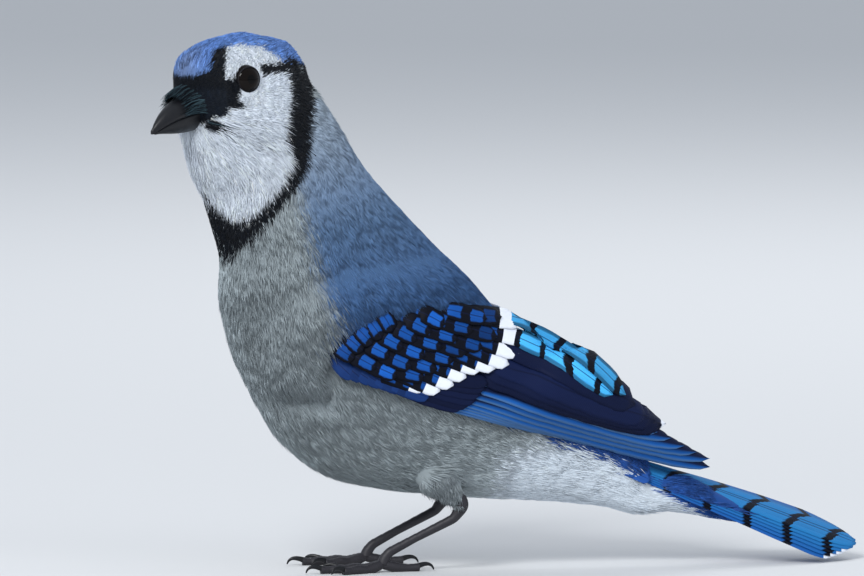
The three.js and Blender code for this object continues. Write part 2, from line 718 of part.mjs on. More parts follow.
part("foot_left", foot, LEG_BLACK, 0.5);
part("foot_right", mirrored(foot), LEG_BLACK, 0.5);

// The part's origin is on the floor under the middle of its box.
const box = new THREE.Box3().setFromObject(bird);
const centre = box.getCenter(at(0, 0, 0));
bird.position.set(-centre.x, -centre.y, -box.min.z);

export default bird;
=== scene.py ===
# A blue jay at life size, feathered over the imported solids, standing on a plain pale floor.
import math

import bmesh
import bpy
import numpy as np
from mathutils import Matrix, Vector


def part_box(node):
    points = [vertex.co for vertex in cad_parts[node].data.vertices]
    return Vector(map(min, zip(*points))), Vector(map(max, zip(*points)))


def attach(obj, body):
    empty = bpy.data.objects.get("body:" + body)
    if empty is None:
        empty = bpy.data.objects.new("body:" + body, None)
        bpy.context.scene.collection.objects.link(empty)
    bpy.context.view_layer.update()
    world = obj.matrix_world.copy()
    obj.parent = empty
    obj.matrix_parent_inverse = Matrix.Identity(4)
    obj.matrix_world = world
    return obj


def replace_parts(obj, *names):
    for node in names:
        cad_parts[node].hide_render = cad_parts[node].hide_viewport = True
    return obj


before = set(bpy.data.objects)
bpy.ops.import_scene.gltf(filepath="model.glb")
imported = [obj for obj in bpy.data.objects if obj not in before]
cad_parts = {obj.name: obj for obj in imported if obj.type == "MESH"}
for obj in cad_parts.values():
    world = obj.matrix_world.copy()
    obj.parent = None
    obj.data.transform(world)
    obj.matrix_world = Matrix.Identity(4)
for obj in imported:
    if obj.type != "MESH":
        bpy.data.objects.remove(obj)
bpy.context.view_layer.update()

# Skin of the head, neck, trunk and upper legs.
# One unbroken skin lies under all the soft feathers, inside the solids by the depth of the coat.
# It is drawn through oval sections in millimetres, and the two eyes set the drawing in the frame.
HEAD_TURN = math.radians(34)
HEAD_FRONT = np.array([-math.cos(HEAD_TURN), -math.sin(HEAD_TURN), 0.0])
HEAD_LEFT = np.array([math.sin(HEAD_TURN), -math.cos(HEAD_TURN), 0.0])
HEAD_MIDDLE = np.array([-53.4, -5.0, 0.0])
EYE_AHEAD = 10.8
EYE_OUT = 11.3
EYE_HEIGHT = 163.4
EXPONENT = 2.2


def head_place(ahead, left, height):
    """Points ahead of, left of and above the middle of the turned head."""
    ahead, left, height = np.broadcast_arrays(ahead, left, height)
    place = HEAD_MIDDLE + ahead[..., None] * HEAD_FRONT + left[..., None] * HEAD_LEFT
    place[..., 2] = height
    return place


def middle_of(node):
    """The middle of a node's box in the frame."""
    low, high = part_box(node)
    return (np.array(low) + np.array(high)) / 2


between_eyes = (middle_of("eye_left") + middle_of("eye_right")) / 2
ORIGIN = between_eyes - head_place(EYE_AHEAD, 0.0, EYE_HEIGHT) * 0.001


def metres(points):
    """Millimetres of the drawing to metres of the frame."""
    return np.asarray(points) * 0.001 + ORIGIN


# x, y, z of the middle, lean in degrees, half length, half width, turn in degrees. Outline points were read
# off the picture by hand, and another program turned them into most of these rows, some adjusted since.
BODY = np.array([
    [-55.0, -5.0, 177.2, -1, 3.0, 2.2, 34],
    [-55.4, -5.8, 173.8, 1, 18.6, 10.2, 34],
    [-55.4, -5.8, 167.6, 0, 26.0, 13.8, 34],
    [-54.0, -5.4, 159.5, 1, 27.8, 15.6, 34],
    [-49.9, -4.5, 149.4, 6.5, 28.2, 17.5, 30],
    [-45.7, -3.0, 139.3, 12, 28.0, 19.0, 20],
    [-41.2, -1.5, 131.0, 15, 27.5, 20.0, 11],
    [-37.1, -0.5, 122.8, 15.5, 28.8, 21.0, 4],
    [-30.6, 0, 111.3, 15, 32.0, 23.0, 0],
    [-25.0, 0, 98.7, 14.6, 37.4, 25.0, 0],
    [-17.2, 0, 84.6, 16.2, 42.2, 26.0, 0],
    [-8.4, 0, 70.6, 18.9, 44.3, 26.0, 0],
    [0.3, 0, 59.9, 21.9, 45.6, 25.5, 0],
    [10.9, 0, 50.8, 25.4, 43.8, 24.0, 0],
    [22.6, 0, 44.8, 27.6, 39.0, 22.0, 0],
    [34.9, 0, 40.3, 29.8, 32.6, 19.5, 0],
    [47.6, 0, 36.2, 33.9, 25.1, 16.5, 0],
    [60.3, 0, 32.3, 41.3, 17.9, 13.0, 0],
    [71.6, 0, 28.3, 51, 12.6, 10.0, 0],
    [80.4, 0, 23.7, 56.7, 9.2, 8.0, 0],
    [92.0, 0, 22.6, 63, 7.4, 8.6, 0],
    [104.0, 0, 19.2, 66, 5.4, 8.6, 0],
    [117.0, 0, 15.0, 68, 3.2, 7.6, 0],
    [130.0, 0, 11.3, 68, 1.2, 4.5, 0],
])


class Sections:
    """The ovals at places u along a table of rows, smooth between the rows."""

    def __init__(self, rows, u):
        last = len(rows) - 1
        u = np.clip(np.atleast_1d(u).astype(float), 0, last)
        i = np.clip(np.floor(u).astype(int), 0, last - 1)
        t = (u - i)[:, None]
        a, b, c, d = (rows[np.clip(i + k, 0, last)] for k in (-1, 0, 1, 2))
        row = b + 0.5 * ((c - a) * t + (2 * a - 5 * b + 4 * c - d) * t**2 + (3 * b - a - 3 * c + d) * t**3)
        lean = np.radians(row[:, 3])
        turn = np.radians(row[:, 6])
        self.middle = row[:, :3]
        self.along = np.stack([np.cos(lean) * np.cos(turn), np.cos(lean) * np.sin(turn), np.sin(lean)], 1)
        self.across = np.stack([-np.sin(turn), np.cos(turn), 0 * turn], 1)
        self.long = row[:, 4]
        self.wide = row[:, 5]

    def point(self, q, s):
        """The point at q along the long axis and s across it, both as parts of the half sizes."""
        return self.middle + self.along * (q * self.long)[:, None] + self.across * (s * self.wide)[:, None]


def locate(rows, points):
    """u, q and s of points: the section that each lies on, and where in its oval."""
    grid = np.linspace(0, len(rows) - 1, 8 * (len(rows) - 1) + 1)
    s = Sections(rows, grid)
    normal = np.cross(s.along, s.across)
    past = np.einsum("ij,kj->ik", points, normal) - np.einsum("kj,kj->k", s.middle, normal)
    past *= np.sign(normal[8, 2]) * -1
    inside = past > 0
    last = np.where(inside.any(1), inside.shape[1] - 1 - np.argmax(inside[:, ::-1], 1), 0)
    last = np.minimum(last, len(grid) - 2)
    rows_at = np.arange(len(points))
    a, b = past[rows_at, last], past[rows_at, last + 1]
    share = np.clip(a / np.where(abs(a - b) < 1e-9, 1e-9, a - b), 0, 1)
    u = grid[last] + share * (grid[1] - grid[0])
    at = Sections(rows, u)
    off = points - at.middle
    return u, np.einsum("ij,ij->i", off, at.along) / at.long, np.einsum("ij,ij->i", off, at.across) / at.wide


def oval(angle):
    """q and s round the edge of a section, which is a little squarer than an ellipse."""
    power = 2 / EXPONENT
    q = np.sign(np.cos(angle)) * abs(np.cos(angle)) ** power
    s = np.sign(np.sin(angle)) * abs(np.sin(angle)) ** power
    return q, s


def mesh_from(name, points, faces):
    """An object from points in millimetres and faces as rows of corners; -1 fills a row of three."""
    mesh = bpy.data.meshes.new(name)
    faces = np.asarray(faces, dtype=np.int32)
    mesh.vertices.add(len(points))
    mesh.vertices.foreach_set("co", metres(points).astype(np.float32).ravel())
    counts = (faces >= 0).sum(1)
    loops = faces[faces >= 0]
    mesh.loops.add(len(loops))
    mesh.loops.foreach_set("vertex_index", loops)
    mesh.polygons.add(len(faces))
    starts = np.concatenate([[0], np.cumsum(counts)[:-1]]).astype(np.int32)
    mesh.polygons.foreach_set("loop_start", starts)
    mesh.update(calc_edges=True)
    mesh.shade_smooth()
    piece = bpy.data.objects.new(name, mesh)
    bpy.context.scene.collection.objects.link(piece)
    return piece


def tube(rings):
    """Points and faces of a closed tube through rings of equal count, given as an array of rings."""
    rings = np.asarray(rings)
    steps, count = rings.shape[:2]
    a = np.arange(steps - 1)[:, None] * count + np.arange(count)
    b = np.arange(steps - 1)[:, None] * count + (np.arange(count) + 1) % count
    sides = np.stack([a, b, b + count, a + count], -1).reshape(-1, 4)
    points = np.concatenate([rings.reshape(-1, 3), rings[0].mean(0)[None], rings[-1].mean(0)[None]])
    ends = []
    for ring, middle, way in ((0, steps * count, 1), (steps - 1, steps * count + 1, -1)):
        first = ring * count + np.arange(count)
        second = ring * count + (np.arange(count) + 1) % count
        pair = (second, first) if way == 1 else (first, second)
        ends.append(np.stack([pair[0], pair[1], np.full(count, middle), np.full(count, -1)], -1))
    return points, np.concatenate([sides, *ends])


def joined(tubes):
    """Points and faces of several closed tubes as one set."""
    points = []
    faces = []
    count = 0
    for tube_points, tube_faces in tubes:
        points.append(tube_points)
        faces.append(np.where(tube_faces >= 0, tube_faces + count, -1))
        count += len(tube_points)
    return np.concatenate(points), np.concatenate(faces)


def facing_out(piece):
    """Faces of a new piece turned to point outwards."""
    shape = bmesh.new()
    shape.from_mesh(piece.data)
    bmesh.ops.remove_doubles(shape, verts=shape.verts, dist=1e-6)
    bmesh.ops.recalc_face_normals(shape, faces=shape.faces)
    shape.to_mesh(piece.data)
    shape.free()
    return piece


def limb_rings(path, sides, shape=None, hint=(0, 1, 0)):
    """Rings round a path of x, y, z, radius and side-to-side flatness; hint is roughly the side's way."""
    path = np.asarray(path, dtype=float)
    way = np.gradient(path[:, :3], axis=0)
    way /= np.linalg.norm(way, axis=1)[:, None]
    side = np.array(hint, float) - way * (way @ np.array(hint, float))[:, None]
    side /= np.linalg.norm(side, axis=1)[:, None]
    up = np.cross(side, way)
    up *= -1 if (up[:, 2] + 0.3 * up[:, 0]).mean() < 0 else 1
    angle = np.linspace(0, 2 * np.pi, sides, endpoint=False)
    size = np.ones((len(path), sides)) if shape is None else shape
    wide = (path[:, 3] * path[:, 4])[:, None] * np.cos(angle) * size
    high = path[:, 3][:, None] * np.sin(angle) * size
    return path[:, None, :3] + side[:, None] * wide[..., None] + up[:, None] * high[..., None]


VOXEL = 0.00105
RING_POINTS = 72
THIGH_DEPTH = 1.1
ANKLE = np.array([18, 14.5, 22.5])
KNEE = np.array([-4, 15, 44])
FOOT_OUT = 13.5
FOOT_AHEAD = -9.0


def thigh_path(side, inset):
    """A thigh's path from inside the belly to the ankle, with its radius and flatness."""
    t = np.array([0, 0.12, 0.35, 0.62, 0.85, 0.97])
    radius = np.array([3.0, 5.6, 8.2, 7.9, 4.8, 3.2]) - inset
    spot = KNEE + (ANKLE - KNEE) * t[:, None]
    spot[:, 0] += np.interp(t, [0, 0.6], [6.0, 0])
    spot[:, 2] += np.interp(t, [0, 0.6], [4.0, 0])
    out = spot[:, 1] * np.interp(t, [0, 0.6], [0.45, 1.0])
    return np.column_stack([spot[:, 0], side * out, spot[:, 2], radius, np.full(6, 0.72)])


def coat_depth(u):
    """How far the skin lies inside the solids at places along the body."""
    return np.interp(u, [0, 3, 5, 8, 12, 19, 23], [0.8, 0.9, 1.4, 1.7, 1.9, 1.4, 0.5])


u_rings = np.concatenate([np.linspace(0.0, 2.0, 16), np.linspace(2.1, 23, 100)])
turns = np.linspace(0, 2 * np.pi, RING_POINTS, endpoint=False)
ring_q, ring_s = oval(turns)
skin_rings = []
for u in u_rings:
    section = Sections(BODY, np.full(RING_POINTS, u))
    depth = coat_depth(u)
    section.long = np.maximum(section.long - depth, 0.6)
    section.wide = np.maximum(section.wide - depth, 0.6)
    skin_rings.append(section.point(ring_q, ring_s))
parts = [tube(skin_rings)]
for side in (-1, 1):
    parts.append(tube(limb_rings(thigh_path(side, THIGH_DEPTH), 20)))
rough = facing_out(mesh_from("skin_rough", *joined(parts)))
remesh = rough.modifiers.new("one skin", "REMESH")
remesh.mode = "VOXEL"
remesh.voxel_size = VOXEL
smooth = rough.modifiers.new("even", "SMOOTH")
smooth.iterations = 4
skin_mesh = bpy.data.meshes.new_from_object(rough.evaluated_get(bpy.context.evaluated_depsgraph_get()))
bpy.data.objects.remove(rough)
skin_mesh.name = "skin"
skin_mesh.shade_smooth()
skin = bpy.data.objects.new("skin", skin_mesh)
bpy.context.scene.collection.objects.link(skin)
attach(skin, "root")
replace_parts(skin, "head", "neck", "torso", "thigh_left", "thigh_right")


def array_of(items, name, width):
    """One value of every item of a mesh, as rows of a width."""
    values = np.zeros(len(items) * width, dtype=np.float32)
    items.foreach_get(name, values)
    return values.reshape(-1, width) if width > 1 else values


skin_points = (array_of(skin_mesh.vertices, "co", 3) - ORIGIN) * 1000
skin_normals = array_of(skin_mesh.vertices, "normal", 3)

# Shoulder feathers.
# The back's feathers run out over the top of the folded wing, so the skin swells there by the
# thickness of the wing, down to the line where the barred coverts come out from under them.
SHOULDER_LINE = np.array([
    [-27, 60], [-29.5, 68], [-27.5, 74.5], [-23, 77.5], [-15, 79.8],
    [-4, 81.5], [8, 82.5], [20, 83], [31, 84.5], [38, 85],
], dtype=float)
SHOULDER_RISE = 3.6


def smooth_between(low, high, value):
    """0 at low and 1 at high, eased at both ends."""
    t = np.clip((value - low) / (high - low), 0, 1)
    return t * t * (3 - 2 * t)


def past_line(places, line):
    """How far places lie from a line, more than 0 on its upper and front side."""
    best = np.full(len(places), 1e9)
    signed = np.zeros(len(places))
    for a, b in zip(line[:-1], line[1:]):
        way = b - a
        t = np.clip(((places - a) @ way) / (way @ way), 0, 1)
        off = places - a - t[:, None] * way
        far = np.linalg.norm(off, axis=1)
        nearer = far < best
        side = way[0] * off[:, 1] - way[1] * off[:, 0]
        signed[nearer] = (far * np.sign(side))[nearer]
        best[nearer] = far[nearer]
    return signed


def shoulder_rise(points):
    """How far the shoulder's feathers stand out at points of the skin."""
    past = past_line(points[:, [0, 2]], SHOULDER_LINE)
    rise = smooth_between(-0.5, 4.0, past) * smooth_between(24, 7, past)
    rise *= smooth_between(41, 30, points[:, 0]) * smooth_between(8, 15, abs(points[:, 1]))
    return SHOULDER_RISE * rise * smooth_between(56, 66, points[:, 2])


skin_points = skin_points + skin_normals * shoulder_rise(skin_points)[:, None]
skin_mesh.vertices.foreach_set("co", metres(skin_points).astype(np.float32).ravel())
skin_mesh.update()
skin_normals = array_of(skin_mesh.vertices, "normal", 3)

# Markings of the plumage.
# The pattern is that of the species: a pale blue crown, white face and throat inside a black necklace,
# slate blue nape and back, warm grey breast and sides, and white from the belly to under the tail.
CROWN = np.array([0.115, 0.235, 0.56])
FOREHEAD = np.array([0.15, 0.22, 0.40])
WHITE = np.array([0.72, 0.78, 0.86])
BLACK = np.array([0.004, 0.006, 0.010])
BACK_AT = [4, 6, 8, 10, 12, 15]
BACK = np.array([
    [0.37, 0.45, 0.54], [0.23, 0.31, 0.43], [0.095, 0.17, 0.30],
    [0.048, 0.115, 0.265], [0.026, 0.085, 0.25], [0.018, 0.078, 0.28],
])
BREAST_AT = [5, 8, 11, 14, 16]
BREAST = np.array([
    [0.38, 0.43, 0.455], [0.29, 0.335, 0.355], [0.26, 0.30, 0.32], [0.33, 0.38, 0.40], [0.44, 0.50, 0.53],
])
RUMP = np.array([0.020, 0.085, 0.33])
VENT = np.array([0.66, 0.73, 0.80])
PIXELS = 3.05
MIDDLE_ACROSS = 400
FLOOR_DOWN = 568
VIEW_TURN = math.radians(-12)
VIEW_RISE = math.radians(5)
VIEW_RIGHT = np.array([math.cos(VIEW_TURN), math.sin(VIEW_TURN), 0.0])
VIEW_UP = np.array([
    -math.sin(VIEW_TURN) * math.sin(VIEW_RISE),
    math.cos(VIEW_TURN) * math.sin(VIEW_RISE),
    math.cos(VIEW_RISE),
])
VIEW_BACK = np.cross(VIEW_RIGHT, VIEW_UP)


def side_view(points):
    """Where points fall in the picture that the markings are drawn on, x to the right and y down."""
    return np.stack([MIDDLE_ACROSS + PIXELS * points @ VIEW_RIGHT, FLOOR_DOWN - PIXELS * points @ VIEW_UP], 1)


def within(spots, outline):
    """True for spots inside an outline drawn through its corners."""
    x, y = spots[:, 0], spots[:, 1]
    inside = np.zeros(len(spots), dtype=bool)
    corners = np.asarray(outline, dtype=float)
    for (x0, y0), (x1, y1) in zip(corners, np.roll(corners, -1, axis=0)):
        crosses = (y0 > y) != (y1 > y)
        inside ^= crosses & (x < (x1 - x0) * (y - y0) / (y1 - y0 + 1e-9) + x0)
    return inside


def on_left(points):
    """Each point, or its mirror image on the left side across the middle of its own section."""
    u, q, s = locate(BODY, points)
    section = Sections(BODY, u)
    return section.point(q, -abs(s)), u, q, s


NECKLACE = [
    (286, 56), (300, 62), (313, 88), (316, 104), (312, 140), (311, 167), (299, 189), (281, 212),
    (264, 232), (256, 240), (242, 250), (232, 262), (222, 268), (214, 240), (196, 184), (204, 195),
    (215, 209), (227, 219), (242, 224), (257, 216), (273, 201), (288, 183), (296, 166), (289, 140),
    (290, 118), (293, 97), (291, 80),
]
FRONT_BAND = [
    (150, 70), (176, 77), (197, 76), (212, 70), (214, 52), (228, 46), (227, 64), (226, 96),
    (212, 92), (176, 90), (150, 96),
]
LORE = [
    (214, 88), (227, 80), (234, 79), (237, 72), (242, 80), (243, 92), (240, 100), (248, 109),
    (236, 110), (214, 106),
]
EYE_LINE = [(260, 65), (276, 65), (292, 60), (292, 72), (276, 73), (264, 78)]
GAPE = [(194, 102), (230, 103), (226, 112), (212, 122), (194, 128)]
WHITE_FACE = [
    (100, 20), (228, 20), (286, 58), (293, 80), (294, 97), (292, 118), (290, 140), (297, 166), (289, 184),
    (274, 202), (258, 217), (242, 225), (227, 220), (215, 210), (203, 196), (120, 196),
]
EYEBROW = [
    (227, 48), (240, 45), (262, 48), (280, 58), (286, 67), (264, 69), (252, 66), (242, 69),
    (237, 80), (228, 82),
]
CROWN_EDGE = [
    (120, 20), (330, 20), (300, 62), (292, 78), (286, 66), (262, 47), (227, 47), (212, 76),
    (150, 90),
]
BLUE_BACK = [
    (303, 84), (301, 190), (306, 215), (318, 262), (330, 300), (347, 335), (330, 356), (520, 424), (700, 440),
    (900, 560), (900, 200), (340, 60),
]
BORDER_Y = [84, 190, 215, 262, 300, 335]
BORDER_X = [303, 301, 306, 318, 330, 347]
RUMP_AREA = [
    (500, 414), (535, 424), (552, 441), (575, 448), (612, 461), (652, 486), (722, 526), (860, 600),
    (860, 380), (520, 380),
]
VENT_AREA = [
    (505, 455), (530, 443), (575, 448), (612, 461), (652, 486), (722, 526), (860, 600), (600, 640),
    (470, 560), (492, 490),
]


def markings(points):
    """Colour and region of the plumage at points on the body."""
    near, u, q, s = on_left(points)
    spot = side_view(near)
    front_of_head = (near - HEAD_MIDDLE) @ HEAD_FRONT
    back = np.stack([np.interp(u, BACK_AT, BACK[:, k]) for k in range(3)], 1)
    colour = np.stack([np.interp(u, BREAST_AT, BREAST[:, k]) for k in range(3)], 1)
    region = np.full(len(points), "breast", dtype=object)

    def paint(mask, value, name):
        """Gives the masked points a colour, one for all or one each, and a region."""
        colour[mask] = value if np.ndim(value) == 1 else value[mask]
        region[mask] = name

    keel = (u > 7) & (u < 13) & (q < -0.93)
    paint(keel, colour * 1.35, "breast")
    paint((u > 13) & within(spot, VENT_AREA), VENT, "vent")
    is_back = within(spot, BLUE_BACK) | (q > 0.75)
    from_border = spot[:, 0] - np.interp(spot[:, 1], BORDER_Y, BORDER_X)
    share = np.maximum(smooth_between(-16, 20, from_border), smooth_between(0.7, 0.8, q))[:, None]
    beside = (u > 3.6) & (u < 13) & (spot[:, 1] < 340) & (from_border > -16)
    paint(beside, colour + (back - colour) * share, "breast")
    back_share = np.where(spot[:, 1:] < 340, share, 1)
    paint((u > 3.6) & is_back & (u < 17), colour + (back - colour) * back_share, "mantle")
    paint((u > 13) & (within(spot, RUMP_AREA) | (q > 0.6)), RUMP, "rump")
    head = u < 6.4
    behind = (q > 0.62) & (abs(s) < 0.75) & (front_of_head < -8)
    white_face = (u < 9) & within(spot, WHITE_FACE) & ~behind
    paint(white_face, WHITE, "cheek")
    paint(white_face & (spot[:, 1] > 124), WHITE, "throat")
    crown = (u < 5) & (within(spot, CROWN_EDGE) | (behind & (near[:, 2] > 167)))
    share = smooth_between(215, 180, spot[:, 0])[:, None]
    paint(crown, CROWN + (FOREHEAD - CROWN) * share, "crown")
    paint(head & within(spot, EYEBROW), WHITE, "face")
    nape_line = behind & (near[:, 2] > 158.5) & (near[:, 2] < 167)
    paint((u < 9) & (within(spot, NECKLACE) | nape_line), BLACK, "necklace")
    paint(head & within(spot, FRONT_BAND), BLACK, "face")
    paint(head & within(spot, LORE), BLACK, "face")
    paint(head & within(spot, EYE_LINE), BLACK, "face")
    paint(head & within(spot, GAPE), BLACK, "face")
    near_bill = head & (front_of_head > 19) & (near[:, 2] > 151.5) & (near[:, 2] < 160.5)
    paint(near_bill, BLACK * 2, "face")
    tight = head & (spot[:, 0] < 262) & (spot[:, 1] < 108) & (region != "crown")
    region[tight] = "face"
    return colour, region, u, q, s


rng = np.random.default_rng(7)
skin_colour, skin_region, skin_u, skin_q, skin_s = markings(skin_points)
# Painted shade: the skin that shows between the tufts carries the markings darkened to 0.7, the shade that
# the coat casts on it.
COAT_SHADE_ON_SKIN = 0.7
skin_rgba = np.column_stack([skin_colour * COAT_SHADE_ON_SKIN, np.ones(len(skin_colour))])
plume = skin_mesh.attributes.new("plume", "FLOAT_COLOR", "POINT")
plume.data.foreach_set("color", skin_rgba.astype(np.float32).ravel())


class Field:
    """A value in a material, so that sums of values are written as sums."""

    def __init__(self, finish, socket):
        self.finish = finish
        self.socket = socket

    def math(self, operation, *others):
        """The field after a step of arithmetic with other fields or numbers."""
        sockets = dict(enumerate((self, *others)))
        return self.finish.node("ShaderNodeMath", {"operation": operation}, sockets)

    def __add__(self, other):
        return self.math("ADD", other)

    def __sub__(self, other):
        return self.math("SUBTRACT", other)

    def __mul__(self, other):
        return self.math("MULTIPLY", other)

    def __rsub__(self, other):
        return (self * -1.0) + other

    __radd__ = __add__
    __rmul__ = __mul__

    def step(self, low, high):
        """Smoothly 0 below low and 1 above high."""
        sockets = {"Value": self, "From Min": low, "From Max": high}
        return self.finish.node("ShaderNodeMapRange", {"interpolation_type": "SMOOTHSTEP"}, sockets, "Result")


class Finish:
    """A material with its Principled shader, and one call that adds any other node."""

    def __init__(self, name, **sockets):
        self.material = bpy.data.materials.new(name)
        self.material.use_nodes = True
        self.node_tree = self.material.node_tree
        self.shader = self.node_tree.nodes["Principled BSDF"]
        for socket, value in sockets.items():
            self.shader.inputs[socket.replace("_", " ")].default_value = value

    def node(self, kind, settings=None, sockets=None, output=0):
        """A new node from its settings, then the values or links of its sockets."""
        made = self.node_tree.nodes.new(kind)
        for name, value in (settings or {}).items():
            setattr(made, name, value)
        for slot, value in (sockets or {}).items():
            if isinstance(value, Field):
                self.node_tree.links.new(value.socket, made.inputs[slot])
            else:
                made.inputs[slot].default_value = value
        return Field(self, made.outputs[output])

    def mix(self, share, first, second):
        """Colour between two colours or fields."""
        return self.node("ShaderNodeMix", {"data_type": "RGBA"}, {0: share, 6: first, 7: second}, 2)

    def wear(self, socket, field):
        """Lets a field feed a socket of the shader."""
        self.node_tree.links.new(field.socket, self.shader.inputs[socket])


plumage = Finish("plumage", Roughness=0.85, Sheen_Weight=0.04, Sheen_Roughness=0.5, Specular_IOR_Level=0.08)
plumage.wear("Base Color", plumage.node("ShaderNodeAttribute", {"attribute_name": "plume"}))
skin_mesh.materials.append(plumage.material)


def patch_place(u, q, s):
    """Where a root lies on a flat unwrap of the skin."""
    return np.stack([0.5 + np.arctan2(s, -q) / (2 * np.pi) * 0.98, 0.01 + 0.98 * u / (len(BODY) - 1)], 1)


corner_vertex = array_of(skin_mesh.loops, "vertex_index", 1).astype(int)
corner_place = patch_place(skin_u, skin_q, skin_s)[corner_vertex]
face_start = array_of(skin_mesh.polygons, "loop_start", 1).astype(int)
face_size = array_of(skin_mesh.polygons, "loop_total", 1).astype(int)
first_place = np.repeat(corner_place[face_start, 0], face_size)
corner_place[:, 0] -= np.round(corner_place[:, 0] - first_place)
skin_mesh.uv_layers.new(name="OFBake").data.foreach_set("uv", corner_place.astype(np.float32).ravel())

# Soft feathers of the body.
# Each small feather is a tuft of loose barbs, fine tapered blades that rise from the skin and lie back
# over the next ones, shortest on the face, longest and loosest on the throat, flanks and belly.
# Each region's length, half-width, lift, blades, tufts to a square millimetre, and spreads of way and tone.
COAT = {
    "face": (2.3, 0.12, 0.42, 5, 2.2, 0.16, 0.10),
    "crown": (4.4, 0.14, 0.28, 6, 1.1, 0.10, 0.24),
    "cheek": (4.4, 0.13, 0.36, 6, 1.1, 0.12, 0.05),
    "throat": (8.5, 0.13, 0.36, 6, 0.68, 0.16, 0.06),
    "necklace": (4.5, 0.16, 0.36, 6, 1.0, 0.16, 0.15),
    "mantle": (7.0, 0.19, 0.20, 6, 0.62, 0.09, 0.06),
    "breast": (8.0, 0.17, 0.26, 6, 0.56, 0.13, 0.08),
    "rump": (7.0, 0.19, 0.22, 6, 0.50, 0.10, 0.08),
    "vent": (9.0, 0.18, 0.17, 6, 0.46, 0.07, 0.04),
    "thigh": (5.0, 0.17, 0.30, 6, 0.70, 0.14, 0.06),
}
BILL_ROOT = head_place(26.0, 0.0, 154.0)
WING_AREA = [
    (-26, 67), (-28.5, 71), (-26, 75), (-21, 77), (-14, 78.5), (-3, 80), (9, 81), (20, 81.5),
    (31, 83), (36, 84), (40, 81), (52, 73), (64, 62), (70, 54), (60, 50.5), (42, 52),
    (30, 54), (14, 56.5), (0, 61), (-14, 65.5),
]
LID_GAP = 4.2

skin_mesh.calc_loop_triangles()
triangles = array_of(skin_mesh.loop_triangles, "vertices", 3).astype(int)
corner = skin_points[triangles]
area = np.linalg.norm(np.cross(corner[:, 1] - corner[:, 0], corner[:, 2] - corner[:, 0]), axis=1) / 2
tri_region = skin_region[triangles[:, 0]]
density = np.array([COAT[name][4] for name in tri_region])
count_on = rng.poisson(area * density)
chosen = np.repeat(np.arange(len(triangles)), count_on)
share = rng.random((len(chosen), 2))
flip = share.sum(1) > 1
share[flip] = 1 - share[flip]
share = np.column_stack([1 - share.sum(1), share])
roots = np.einsum("ij,ijk->ik", share, skin_points[triangles[chosen]])
root_normals = np.einsum("ij,ijk->ik", share, skin_normals[triangles[chosen]])
root_normals /= np.linalg.norm(root_normals, axis=1)[:, None]

root_u, root_q, root_s = locate(BODY, roots)
outside = (abs(root_q) ** EXPONENT + abs(root_s) ** EXPONENT) > 1.02
beside_legs = (roots[:, 2] < 46) & (roots[:, 0] > -18) & (roots[:, 0] < 30) & (abs(roots[:, 1]) > 5)
on_thigh = outside & beside_legs
under_wing = within(roots[:, [0, 2]], WING_AREA) & (abs(roots[:, 1]) > 6)


def one(vector):
    """A single vector at length one."""
    return vector / np.linalg.norm(vector)


eye_centre = {}
eye_gaze = {}
for side in (1, -1):
    eye_centre[side] = head_place(EYE_AHEAD, side * EYE_OUT, EYE_HEIGHT)
    eye_gaze[side] = one(HEAD_LEFT * side * 0.97 + HEAD_FRONT * 0.2 + np.array([0, 0, 0.04]))
left_half = ((roots - HEAD_MIDDLE) @ HEAD_LEFT > 0)[:, None]
from_eye = roots - np.where(left_half, eye_centre[1], eye_centre[-1])
gaze_at = np.where(left_half, eye_gaze[1], eye_gaze[-1])
eye_spoke = from_eye - gaze_at * np.einsum("ij,ij->i", from_eye, gaze_at)[:, None]
eye_gap = np.linalg.norm(eye_spoke, axis=1)
eye_gap[np.linalg.norm(from_eye, axis=1) > 12] = 99.0
near_eye = eye_gap < LID_GAP
bill_zone = ((roots - BILL_ROOT) @ HEAD_FRONT > -1.5) & (np.linalg.norm(roots - BILL_ROOT, axis=1) < 5.0)
under_tail = (root_u > 20.5) & (root_q > 0.1)
keep = ~(under_wing | near_eye | bill_zone | under_tail) & (root_u < 22.6)
roots, root_normals, root_u, root_q, root_s, on_thigh, eye_spoke, eye_gap = (
    values[keep] for values in (roots, root_normals, root_u, root_q, root_s, on_thigh, eye_spoke, eye_gap)
)


def unit(vectors):
    """Rows of vectors at length one."""
    return vectors / np.maximum(np.linalg.norm(vectors, axis=1), 1e-9)[:, None]


ahead_section = Sections(BODY, root_u + 0.3)
here_section = Sections(BODY, root_u)
body_flow = unit(ahead_section.point(root_q, root_s) - here_section.point(root_q, root_s))
head_flow = unit(roots - BILL_ROOT)
head_flow[:, 2] -= 0.25 * (roots[:, 2] < 160)
blend = smooth_between(4.0, 7.0, root_u)[:, None]
flow = head_flow * (1 - blend) + body_flow * blend
flow[on_thigh] = one((ANKLE - KNEE) * np.array([0.35, 0, 1.0]))
flow -= root_normals * np.einsum("ij,ij->i", flow, root_normals)[:, None]
flow = unit(flow)
spoke = unit(eye_spoke)
inward = np.minimum(np.einsum("ij,ij->i", flow, spoke), 0)
flow = unit(flow - spoke * (inward * smooth_between(8.5, 5.0, eye_gap) * 1.25)[:, None])
root_region = markings(roots)[1]
root_reach = np.array([COAT[name][0] for name in root_region])
seen_region = markings(roots + flow * (0.6 * root_reach)[:, None])[1]
root_region = np.where((root_region != "face") & (root_u < 9), seen_region, root_region)
root_region[on_thigh] = "thigh"
THIGH = np.array([0.29, 0.33, 0.35])
PATCH_SIZE = 0.003

# Stations along a blade: the share of its length, and the share of its full width there.
CURVED = ((0.0, 0.8), (0.42, 1.0), (0.78, 0.75))
STRAIGHT = ((0.0, 0.8), (0.5, 1.0))


